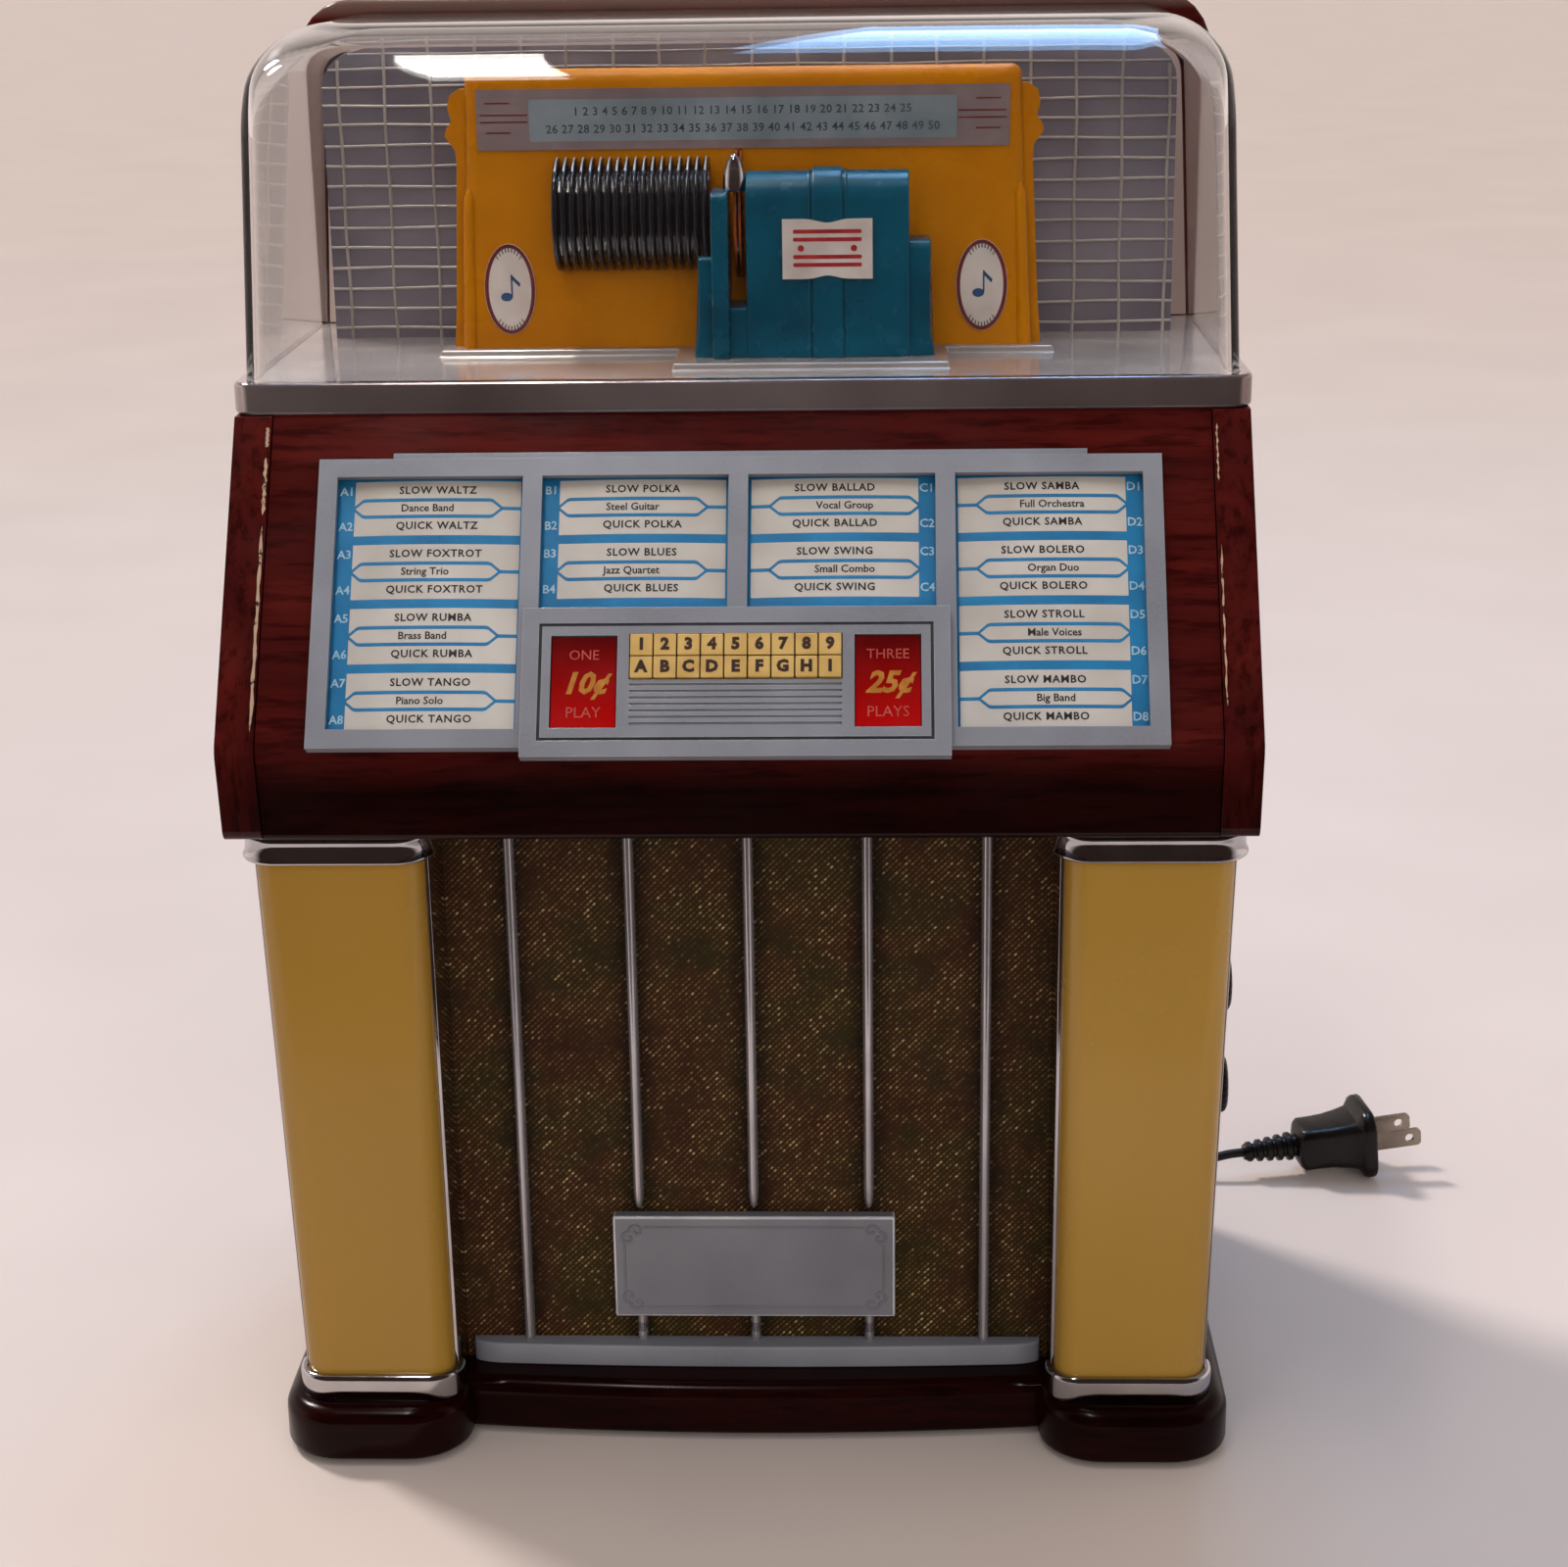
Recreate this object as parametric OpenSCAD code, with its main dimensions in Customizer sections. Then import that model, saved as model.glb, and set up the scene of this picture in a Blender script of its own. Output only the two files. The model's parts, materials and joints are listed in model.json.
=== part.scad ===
// Jukebox table radio: a mahogany cabinet with a clear dome over a record player,
// a sloped panel of title cards and keys, two light columns and a speaker grille.
// Millimetres. +Z is up, -Y is the front, and the origin is on the table under the middle.

/* [Cabinet] */
// Width over the two side cheeks
cabinet_w = 280; // [264:1:310]
// Depth from the key bezel to the back cover
cabinet_d = 201; // [196:1:230]
// Height of the console between the columns and the dome
console_h = 107.4; // [100:0.2:124]
// Lean of the sloped front from upright, in degrees
slope_angle = 33.5; // [31:0.5:36]
// Length of the sloped front
panel_l = 97; // [95:0.5:102]
// Thickness of a side cheek
cheek_t = 10.5; // [9:0.5:12]
// How far a cheek stands in front of the fascia
cheek_proud = 1.2; // [0.5:0.1:2.5]
// Skin of the console
skin_t = 4; // [3:0.5:5]
// Boards of the lower cabinet
board_t = 6; // [5:0.5:8]
// How far the lower sides are set in under the cheeks
lower_inset = 13; // [10:0.5:13]
// Thickness of the back cover
cover_t = 3; // [2.5:0.5:5]

/* [Base] */
// Height of a rubber pad
pad_h = 2; // [1:0.5:4]
// Diameter of a rubber pad
pad_d = 18; // [12:1:24]
// Height of the base
plinth_h = 16; // [12:1:26]
// Width of a front foot
foot_w = 56; // [52:1:60]
// How far a foot stands out past the cheeks
foot_proud = 1; // [0:0.5:3]
// Corner radius of a foot in plan
foot_round = 18; // [8:1:20]
// Set-back of the feet behind the key bezel
foot_set = 23.5; // [14:0.5:24]
// Set-back of the base between the feet
plinth_set = 43.5; // [34:0.5:44]
// Bow of the base between the feet
plinth_bow = 4.4; // [2:0.2:8]

/* [Columns] */
// Clear height between the base and the console
column_h = 182.6; // [160:0.2:200]
// Distance from the outside of a cheek to the inner side of a column
column_bay = 51.3; // [50:0.1:58]
// Width of a column at its top
column_top_w = 47.7; // [44:0.1:49]
// Width of a column at its foot
column_foot_w = 44; // [40:0.1:44.2]
// Depth of a column in front of its channel, at the top
column_top_d = 16; // [12:0.5:18]
// Depth of a column in front of its channel, at the foot
column_foot_d = 10; // [8:0.5:14]
// Front corner radius of a column
column_round = 7; // [4:0.5:7.5]
// Wall of a column
column_wall = 2.2; // [1.4:0.1:3]
// Width of a chrome channel
channel_w = 44.7; // [44.3:0.1:46]
// Depth of a chrome channel
channel_d = 15.8; // [14:0.2:18]
// Sheet of a chrome channel
channel_t = 1.2; // [0.8:0.1:2]
// Height of a chrome cap
cap_h = 11.4; // [5:0.2:14]
// Flare at the lower edge of a cap
cap_flare = 1; // [0.4:0.1:1.6]
// Height of a chrome foot ring
ring_h = 8.5; // [6:0.5:14]
// Wall of the caps and rings
ferrule_wall = 1.8; // [1.2:0.1:2.4]
// Set-back of the stiles behind the key bezel
stile_set = 58.1; // [54:0.1:62]

/* [Grille] */
// Number of chrome bars
bar_count = 5; // [3:2:7]
// Distance of the outer bars from the columns
bar_edge = 19.7; // [10:0.1:24]
// Width of a bar
bar_w = 2.6; // [1.6:0.1:4]
// How far a bar stands out from the cloth
bar_proud = 3; // [2.2:0.1:4.4]
// Height of the sill
sill_h = 7; // [4:0.5:12]
// Depth of the sill at its ends
sill_d = 4.6; // [2:0.1:6]
// Bow of the sill
sill_bow = 2.4; // [1:0.1:5]
// Width of the nameplate
plate_w = 84.6; // [60:0.2:100]
// Height of the nameplate
plate_h = 33.3; // [20:0.1:44]
// Height of the nameplate over the base
plate_rise = 15.9; // [12:0.1:36]
// Thickness of the nameplate
plate_t = 4.5; // [2:0.1:6]
// Thickness of the grille cloth
cloth_t = 0.8; // [0.5:0.1:1.5]
// Thickness of the speaker board
baffle_t = 5; // [4:0.5:8]
// Diameter of the speaker
speaker_d = 100; // [80:1:110]
// Depth of the speaker
speaker_depth = 44; // [36:1:60]
// Height of the speaker's middle over the base
speaker_rise = 92; // [70:1:100]

/* [Sloped panel] */
// Distance from the outside of a cheek to the title frame
frame_margin = 25; // [22:0.5:30]
// Length of the title frame down the slope
frame_l = 82.6; // [80:0.2:84]
// Distance of the title frame from the top of the slope
frame_top = 14.8; // [12:0.2:16]
// Thickness of the title frame
frame_t = 4; // [3.2:0.1:5]
// Rim of the title frame
frame_rim = 5.2; // [4:0.1:7]
// Bars between the title windows
frame_divider = 5.3; // [4:0.1:8]
// Width of the raised lip along the frame's top edge
lip_w = 190; // [120:1:210]
// Height of that lip
lip_h = 2.4; // [1:0.1:4]
// Thickness of a title card
card_t = 0.6; // [0.4:0.1:0.8]
// Thickness of the clear sheet over the cards
glazing_t = 1.2; // [0.8:0.1:1.6]
// Rim of the key bezel above and below the keys
bezel_border = 7.6; // [7:0.1:9]
// Rim of the key bezel outside a coin window
bezel_side = 7.9; // [7:0.1:10]
// Distance of the key bezel from the top of the slope
bezel_top = 59.6; // [57:0.2:61]
// Thickness of the key bezel
bezel_t = 4; // [3:0.1:5]
// Width of a red coin window
coin_w = 17.4; // [12:0.1:19]
// Length of a red coin window
coin_l = 25.4; // [18:0.1:26]
// Thickness of a red coin window
coin_t = 3.4; // [2:0.1:4.5]
// Gap between the keys and a coin window
coin_gap = 3.5; // [2:0.1:6]
// Length of the louvre under the keys
louvre_l = 12.6; // [8:0.1:16]
// Ridges of the louvre under the keys
louvre_count = 7; // [4:1:9]
// Depth of the louvre's grooves
louvre_cut = 1; // [0.4:0.1:2]

/* [Keys] */
// Spacing of the keys
key_pitch = 6.28; // [5.8:0.01:6.4]
// Gap round a key
key_gap = 0.35; // [0.3:0.01:0.6]
// How far a key stands out of the bezel
key_proud = 0.8; // [0.4:0.1:2]
// Travel of a key
key_travel = 1.2; // [0.6:0.1:1.4]
// Diameter of a key's stem
stem_d = 3; // [2:0.1:3.6]
// Radial clearance of a stem in its guide
stem_fit = 0.06; // [0.03:0.01:0.1]
// Thickness of the key switch board
key_board_t = 1.6; // [1:0.1:2.4]

/* [Dome] */
// Height of the chrome band
band_h = 9; // [7:0.5:14]
// How far the band stands out past the cheeks and the fascia
band_proud = 1; // [0.5:0.1:2]
// Wall of the band
band_wall = 4; // [3:0.2:6]
// Thickness of the deck
deck_t = 3; // [2:0.5:5]
// Height of the raised steps on the deck
step_h = 2; // [1:0.5:4]
// Height of the dome
dome_h = 94; // [92:1:120]
// Set-in of the dome from the cheeks at its foot
dome_inset = 2.5; // [1.6:0.1:2.6]
// Draft of each side of the dome
dome_draft = 4.5; // [2:0.5:6]
// Wall of the dome
dome_wall = 3; // [2:0.2:4]
// Radius along the top front edge of the dome
dome_front_round = 28; // [16:1:34]
// Radius along the top side edges of the dome
dome_side_round = 16; // [10:1:20]
// Radius of the upright front edges of the dome
dome_corner_round = 6; // [5:0.5:10]
// Depth of the rear shell
shell_d = 24.5; // [18:0.5:30]
// How far the rear shell rises over the dome
shell_rise = 4; // [2:0.5:8]
// Wall of the rear shell
shell_wall = 3; // [2:0.5:4]
// Top corner radius of the rear shell
shell_round = 18; // [14:1:26]

/* [Mechanism] */
// Distance of the amber panel from the front of the dome
amber_set = 46.5; // [44:0.5:50]
// Thickness of the amber panel
amber_t = 8; // [5:0.5:9]
// Height of the amber panel
amber_h = 79; // [76:1:82]
// Width of the amber panel at its foot
amber_foot_w = 169; // [160:1:190]
// Width of the amber panel at its top
amber_top_w = 158; // [154:1:164]
// Width over the amber panel's shoulders
amber_shoulder_w = 171; // [167:1:180]
// Thickness of the printed labels
label_t = 0.5; // [0.3:0.1:1]
// Radius of the records
record_r = 16; // [12:0.5:18]
// Length of the row of records
stack_l = 45; // [30:1:55]
// Number of records in the row
stack_count = 18; // [8:1:20]
// How much further the record in play stands out
play_lift = 2; // [1:0.5:3]
// Height of the records' middle over the deck
record_rise = 40; // [36:1:45]
// Width of the carriage's housing
housing_w = 45.7; // [40:0.1:50]
// Height of the carriage's housing over the step
housing_h = 51; // [44:1:56]
// Distance of the grid panel behind the amber panel
grid_set = 35; // [33:0.5:40]
// Clear space between the grid panel and the dome's sides at the crown
grid_gap = 4; // [3:0.5:20]
// Height of the grid panel
grid_h = 90; // [70:1:90]
// Thickness of the grid panel
grid_t = 1.5; // [1:0.1:3]

/* [Controls] */
// Diameter of a knob
knob_d = 18.5; // [14:0.5:24]
// Length of a knob
knob_l = 12.9; // [9:0.1:16]
// Distance of a knob from the cabinet's side
knob_gap = 2.6; // [2.2:0.1:3.5]
// Diameter of a knob's spindle
spindle_d = 6; // [4:0.5:6.5]
// Radial clearance of a spindle in its bush
spindle_fit = 0.05; // [0.02:0.01:0.1]
// Set-back of the knobs behind the key bezel
knob_set = 80.5; // [78:0.5:96]
// Height of the tuning knob over the base
tuning_rise = 114; // [104:1:130]
// Height of the volume knob over the base
volume_rise = 81; // [60:1:88]

/* [Cord] */
// Diameter of the mains cord
cord_d = 3.2; // [3:0.1:3.2]
// Outer radius of the coil's turns
coil_outer = 25; // [25:0.5:30]
// Clear gap between turns of the coil
coil_gap = 0.45; // [0.42:0.01:0.5]
// Length of the strain relief behind the back cover
relief_l = 25; // [20:1:40]
// Diameter of the plug's collar
plug_d = 26; // [22:1:27]

/* [Hidden] */
// Clearance between parts that fit together
fit = 0.2;
// Overshoot of a cut past the face it opens
cut = 1;
// Points along a rounded corner
arc_steps = 6;
$fn = 48;

half_w = cabinet_w / 2;
front_y = -cabinet_d / 2;
back_y = cabinet_d / 2;
cover_in = back_y - cover_t;
plinth_top = pad_h + plinth_h;
console_bottom = plinth_top + column_h;
console_top = console_bottom + console_h;
deck_top = console_top + band_h;
dome_top = deck_top + dome_h;
shell_top = dome_top + shell_rise;
step_top = deck_top + step_h;

// Base
foot_outer = half_w + foot_proud;
foot_inner = foot_outer - foot_w;
foot_front = front_y + foot_set;
plinth_front = front_y + plinth_set;
pad_inset = 20;
foot_inner_round = foot_round - 2;

// Lower cabinet
side_out = half_w - lower_inset;
side_in = side_out - board_t;
stile_front = front_y + stile_set;
grille_half = half_w - column_bay;
grille_top = console_bottom - board_t - fit;
channel_front = stile_front - channel_d;
channel_in = grille_half;
channel_out = channel_in + channel_w;
column_set = 0.6;
column_in = channel_in + column_set;
column_low = plinth_top + fit;
ferrule_gap = 0.7;
cap_roof = 1.5;
cap_rim_h = 2;
column_high = console_bottom - cap_roof - fit;
speaker_rim = 8;

// Key bezel: it follows the keys, the louvre under them and the coin windows beside them
key_cols = 9;
key_rows = 2;
key_size = key_pitch - key_gap;
key_block_w = key_cols * key_pitch;
key_block_l = key_rows * key_pitch;
key_top = bezel_top + bezel_border;
louvre_gap = 1.2;
louvre_fill = 0.4;
louvre_top = key_top + key_block_l + louvre_gap;
louvre_pitch = louvre_l / louvre_count;
coin_x = key_block_w / 2 + coin_gap + coin_w / 2;
bezel_w = 2 * (coin_x + coin_w / 2 + bezel_side);
bezel_l = louvre_top + louvre_l + bezel_border - bezel_top;

// Sloped panel: the slope's top is placed so that the bezel's lower edge is the foremost line
slope_top_y = front_y + (bezel_top + bezel_l) * sin(slope_angle) + (frame_t + bezel_t) * cos(slope_angle);
nose_y = slope_top_y - panel_l * sin(slope_angle);
nose_z = console_top - panel_l * cos(slope_angle);
nose_round = 8;
nose_lean = 3;
nose_foot_round = 2;
cheek_foot_round = 4;
cheek_in = half_w - cheek_t;
frame_w = cabinet_w - 2 * frame_margin;
window_w = (frame_w - 2 * frame_rim - 3 * frame_divider) / 4;
window_pitch = window_w + frame_divider;
window_l = frame_l - 2 * frame_rim;
frame_lap = 2;
pocket_t = card_t + glazing_t;
border_line = 4.4;
border_cut = 0.5;
border_w = 0.9;
key_room = 0.4;
cap_low = frame_t + key_travel + key_room;
cap_high = frame_t + bezel_t + key_proud;
stop_t = 0.8;
stop_d = stem_d + 1.6;
stop_gap = 0.3;
stop_low = -stop_gap - stop_t;
stem_low = stop_low - 2;
switch_high = stem_low - key_travel - fit;
switch_size = 4.6;
switch_h = 1.4;
board_gap = 2;
key_board_high = min(switch_high - switch_h, -skin_t - board_gap);
board_lap = 4;
post_d = 3;

// Dome
band_half = half_w + band_proud;
band_front = slope_top_y - band_proud;
band_round = 7;
ledge_w = 4;
dome_set = 0.5;
dome_front = slope_top_y + dome_set;
dome_foot = half_w - dome_inset;
dome_crown = dome_foot - dome_draft;
shell_front = back_y - shell_d;
shell_half = half_w - dome_set;
shell_rim = 9;

// Mechanism
amber_y = dome_front + amber_set;
amber_top = step_top + amber_h;
grid_w = 2 * (dome_crown - dome_wall - grid_gap);
grid_foot = 10;
step_margin = 4;
record_z = deck_top + record_rise;
stack_gap = 0.5;
groove = 2.4;
record_fill = 0.6;
play_r = record_r + play_lift;
play_t = 2;
strip_margin = 9;
strip_w = amber_foot_w - 2 * strip_margin;
strip_h = 17.2;
strip_low = record_z + play_r + fit;
badge_margin = 16.5;
badge_rise = 17;
badge_x = amber_foot_w / 2 - badge_margin;
badge_z = step_top + badge_rise;
badge_r = 7.6;
badge_l = 11.8;
housing_left = 1.3;
housing_right = housing_left + housing_w;
housing_mid = (housing_left + housing_right) / 2;
housing_top = step_top + housing_h;
housing_round = 8;
housing_reach = 21;
housing_front = amber_y - housing_reach;
rib_w = 8.4;
rib_proud = 1;
label_rim = 0.8;
shoulder_w = 6;
shoulder_drop = 19;
shoulder_top = housing_top - shoulder_drop;
shoulder_round = 3;
carriage_gap = 4;
carriage_back = amber_y - carriage_gap;
base_proud = 6;
carriage_front = housing_front - base_proud;
base_h = 7;
base_flare = 3;
base_margin = 7;
slot_w = 4.9;
slot_left = housing_left - slot_w;
post_w = 4.8;
post_left = slot_left - post_w;
post_drop = 5;
post_top = housing_top - post_drop;
post_proud = 2;
side_post_w = 4;
side_post_drop = 23;
side_post_top = housing_top - side_post_drop;
side_post_back = amber_y - record_r - 0.5;
base_left = post_left - base_margin;
base_right = housing_right + base_margin;
carriage_label_rise = 22;
carriage_label_w = 25.2;
carriage_label_h = 16.5;
carriage_label_z = step_top + carriage_label_rise;
dome_lamp_d = 14;
dome_lamp_h = 40;
column_lamp_d = 11;
column_lamp_h = 34;

// Controls
knob_y = front_y + knob_set;
tuning_z = plinth_top + tuning_rise;
volume_z = plinth_top + volume_rise;
bush_d = spindle_d + 3;
bush_proud = 2;
unit_d = 16;
unit_half = 12;
unit_r = 9;
unit_floor = 3;
spindle_r = spindle_d / 2;

// Screws of the back cover, as places [x, z] on it
screw_d = 3;
screw_head_d = 6.4;
screw_head_t = 1.6;
screw_l = 14;
screw_margin = 22;
side_mid = (side_in + side_out) / 2;
cheek_mid = half_w - cheek_t / 2;
side_rows = [plinth_top + screw_margin, console_bottom - screw_margin];
cheek_rows = [console_bottom + screw_margin, console_top - screw_margin];
screw_places = [
    for (x = [-side_mid, side_mid]) for (z = side_rows) [x, z],
    for (x = [-cheek_mid, cheek_mid]) for (z = cheek_rows) [x, z]
];

// Inside: the board and the transformer keep their distance from the sides and the cover
inner_board_t = 1.6;
inner_board_rise = 6;
inner_board_w = 110;
inner_board_d = 74;
inner_board_side = 41;
inner_board_back = 13.5;
inner_board_x = side_in - inner_board_side - inner_board_w;
inner_board_y = cover_in - inner_board_back - inner_board_d;
post_in = 5;
sink_w = 20;
sink_t = 6;
sink_h = 24;
core_w = 52;
core_d = 26;
core_h = 44;
core_tab = 8;
core_side = 17;
core_back = 41.5;
core_x = -side_in + core_side + core_tab + core_w / 2;
core_y = cover_in - core_back - core_d / 2;

// Cord: it leaves the cover through a strain relief, is coiled and ends in its plug
gland_x = -40;
gland_z = plinth_top + 18;
gland_r = 4;
gland_end = back_y + relief_l;
coil_x = 60;
coil_y = back_y + 49.5;
coil_rings = 24;
coil_pitch = cord_d + coil_gap;
coil_leg = 3.25;
coil_turns = 4 * coil_leg;
coil_low = cord_d / 2 + 0.1;
coil_high = coil_low + 3 * coil_pitch;
coil_start = [coil_x, coil_y - coil_outer, coil_low];
coil_end = [coil_x, coil_y - coil_outer, coil_high];
end_run = [cord_d, 0, 0];
collar_t = 4.4;
plug_yaw = 8;
plug_tilt = 5;
plug_tail = 46;
plug_run = 6;
plug_lift = 0.2;
plug_z = plug_d / 2 * cos(plug_tilt) + collar_t * sin(plug_tilt) + plug_lift;
plug_face = [half_w + 74, back_y + 26.5, plug_z];
plug_way = [cos(plug_tilt) * cos(plug_yaw), cos(plug_tilt) * sin(plug_yaw), sin(plug_tilt)];
plug_end = plug_face - plug_tail * plug_way;
// Bends of the cord, chosen by hand: X, distance behind the cover, height over the table
lead_bends = [
    [-40, 32.5, 36],
    [-38, 40.5, 34.5],
    [-32, 46.5, 31.5],
    [-24, 49, 27],
    [-15, 48.5, 21.5],
    [-5, 45.5, 15.5],
    [5, 41, 10],
    [15, 36.5, 5.8],
    [25, 32, 3.2],
    [35, 28, 2],
    [44, 25.3, 1.7]
];
tail_bends = [
    [73, 24.5, 12.2],
    [81, 24.1, 9.8],
    [90, 23.3, 6.4],
    [99, 22.1, 3.4],
    [108, 20.7, 1.9],
    [118, 19.3, 1.7],
    [128, 18.1, 1.7],
    [138, 17.5, 2.5],
    [147, 17.5, 4.6],
    [155, 18.2, 7.2]
];
lead_route = concat(
    [[gland_x, gland_end, gland_z]], behind(lead_bends), [coil_start - 2 * end_run, coil_start - end_run]
);
tail_route = concat(
    [coil_end + end_run, coil_end + 2 * end_run], behind(tail_bends), [plug_end - plug_run * plug_way, plug_end]
);

KEY_NAMES = [
    for (row = [0 : key_rows - 1]) for (col = [0 : key_cols - 1])
        str("key_", row == 0 ? str(col + 1) : chr(97 + col))
];

mahogany = [0.27, 0.07, 0.05];
silver = [0.62, 0.64, 0.67];
chrome = [0.8, 0.82, 0.84];
circuit_green = [0.1, 0.35, 0.2];

// Helpers for outlines
function unit(v) = v / norm(v);

// Points of one corner of an outline, rounded to radius r
function corner_arc(p, before, after, r) =
    r <= 0 ? [p] :
    let (
        to_before = unit(before - p),
        to_after = unit(after - p),
        half = acos(to_before * to_after) / 2,
        centre = p + unit(to_before + to_after) * r / sin(half),
        start = p + to_before * r / tan(half) - centre,
        from = atan2(start[1], start[0]),
        turn = (cross(to_before, to_after) > 0 ? -1 : 1) * (180 - 2 * half)
    )
    [for (i = [0 : arc_steps]) let (a = from + turn * i / arc_steps) centre + r * [cos(a), sin(a)]];

// An outline with each corner rounded to its own radius
function rounded(points, radii) =
    let (n = len(points))
    [for (i = [0 : n - 1]) each corner_arc(points[i], points[(i + n - 1) % n], points[(i + 1) % n], radii[i])];

function rectangle(low, high) = [low, [high[0], low[1]], high, [low[0], high[1]]];

module box(low, high) {
    translate(low) cube(high - low);
}

module both_sides() {
    children();
    mirror([1, 0, 0]) children();
}

// An outline in Y and Z, drawn out along X
module along_x(x0, x1) {
    translate([x0, 0, 0]) rotate([90, 0, 90]) linear_extrude(x1 - x0) children();
}

// An outline in X and Z, drawn out along Y
module along_y(y0, y1) {
    translate([0, y1, 0]) rotate([90, 0, 0]) linear_extrude(y1 - y0) children();
}

// An outline in X and Y, drawn out along Z
module along_z(z0, z1) {
    translate([0, 0, z0]) linear_extrude(z1 - z0) children();
}

// A rod along +X or +Y from a start point
module rod_x(start, r, l) {
    translate(start) rotate([0, 90, 0]) cylinder(r = r, h = l);
}

module rod_y(start, r, l) {
    translate(start) rotate([-90, 0, 0]) cylinder(r = r, h = l);
}

// Local frame of the sloped panel: X across, Y up the slope, Z out of it
module on_slope() {
    translate([0, slope_top_y, console_top]) rotate([90 - slope_angle, 0, 0]) children();
}

// A block on the sloped panel, between two distances down the slope and two heights out of it
module slope_block(x0, x1, down0, down1, out0, out1) {
    box([x0, -down1, out0], [x1, -down0, out1]);
}

// Points of a front that bows out between two half widths, from left to right
function bow_curve(half, base_y, bow) =
    let (steps = 2 * arc_steps)
    [for (i = [1 : steps - 1]) let (s = 2 * i / steps - 1) [half * s, base_y - bow * (1 - s * s)]];

// Points measured from the back cover
function behind(points) = [for (p = points) [p[0], back_y + p[1], p[2]]];

// Helpers for swept tubes
function way_at(route, i) = unit(route[min(i + 1, len(route) - 1)] - route[max(i - 1, 0)]);

function ring_at(centre, way, r, sides) =
    let (across = unit(cross(way, [0, 0, 1])), up = cross(across, way))
    [for (j = [0 : sides - 1]) centre + r * (cos(360 * j / sides) * across + sin(360 * j / sides) * up)];

module tube(route, r, sides) {
    last = len(route) - 1;
    top = last * sides;
    polyhedron(
        points = [for (i = [0 : last]) each ring_at(route[i], way_at(route, i), r, sides)],
        faces = concat(
            [for (j = [1 : sides - 2]) [0, j + 1, j]],
            [for (j = [1 : sides - 2]) [top, top + j, top + j + 1]],
            [
                for (i = [0 : last - 1]) for (j = [0 : sides - 1])
                let (a = i * sides + j, b = i * sides + (j + 1) % sides)
                each [[a, b, b + sides], [a, b + sides, a + sides]]
            ]
        )
    );
}

// Base and feet
module base_plinth() {
    right = rounded(
        [
            [foot_inner, plinth_front], [foot_inner, foot_front], [foot_outer, foot_front],
            [foot_outer, back_y], [0, back_y]
        ],
        [0, foot_inner_round, foot_round, 0, 0]
    );
    left = [for (i = [len(right) - 1 : -1 : 0]) [-right[i][0], right[i][1]]];
    color(mahogany) along_z(pad_h, plinth_top)
        polygon(concat(bow_curve(foot_inner, plinth_front, plinth_bow), right, left));
}

module foot_pads() {
    pad_x = (foot_inner + foot_outer) / 2;
    color("black") both_sides() for (y = [foot_front + pad_inset, back_y - pad_inset])
        translate([pad_x, y, 0]) cylinder(d = pad_d, h = pad_h);
}

// Lower cabinet with its speaker grille
module lower_cabinet() {
    stile_back = stile_front + board_t;
    lap = side_in + cut;
    color(mahogany) difference() {
        union() {
            both_sides() {
                box([side_in, stile_front, plinth_top], [side_out, cover_in, console_bottom]);
                box([grille_half, stile_front, plinth_top], [lap, stile_back, console_bottom]);
            }
            box([-lap, stile_front, console_bottom - board_t], [lap, cover_in, console_bottom]);
        }
        for (z = [tuning_z, volume_z])
            rod_x([side_in - cut, knob_y, z], bush_d / 2 + fit, board_t + 2 * cut);
        screw_holes();
    }
}

module speaker_baffle() {
    color("tan") difference() {
        along_y(stile_front + cloth_t, stile_front + cloth_t + baffle_t)
            polygon(rectangle([-grille_half + fit, plinth_top], [grille_half - fit, grille_top]));
        rod_y([0, stile_front, plinth_top + speaker_rise], speaker_d / 2 - speaker_rim, baffle_t + 2 * cut);
    }
}

module grille_cloth() {
    color([0.3, 0.22, 0.1]) along_y(stile_front, stile_front + cloth_t)
        polygon(rectangle([-grille_half + fit, plinth_top], [grille_half - fit, grille_top]));
}

module grille_bar(x, z0, z1) {
    along_z(z0, z1) translate([x, stile_front]) {
        translate([0, bar_w / 2 - bar_proud]) circle(d = bar_w);
        translate([-bar_w / 2, bar_w / 2 - bar_proud]) square([bar_w, bar_proud - bar_w / 2]);
    }
}

module grille_trim() {
    spacing = 2 * (grille_half - bar_edge) / (bar_count - 1);
    sill_top = plinth_top + sill_h;
    sill_half = grille_half - ferrule_wall - ferrule_gap - fit;
    sill_front = stile_front - sill_d;
    plate_low = plinth_top + plate_rise;
    color(chrome) {
        along_z(plinth_top, sill_top) polygon(concat(
            bow_curve(sill_half, sill_front, sill_bow),
            [
                [sill_half, sill_front], [sill_half, stile_front],
                [-sill_half, stile_front], [-sill_half, sill_front]
            ]
        ));
        for (i = [0 : bar_count - 1]) {
            x = -grille_half + bar_edge + i * spacing;
            if (abs(x) < (plate_w + bar_w) / 2) {
                grille_bar(x, sill_top, plate_low - fit);
                grille_bar(x, plate_low + plate_h + fit, console_bottom);
            } else {
                grille_bar(x, sill_top, console_bottom);
            }
        }
    }
}

module nameplate() {
    low = plinth_top + plate_rise;
    color(silver) along_y(stile_front - plate_t, stile_front)
        polygon(rectangle([-plate_w / 2, low], [plate_w / 2, low + plate_h]));
}

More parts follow.
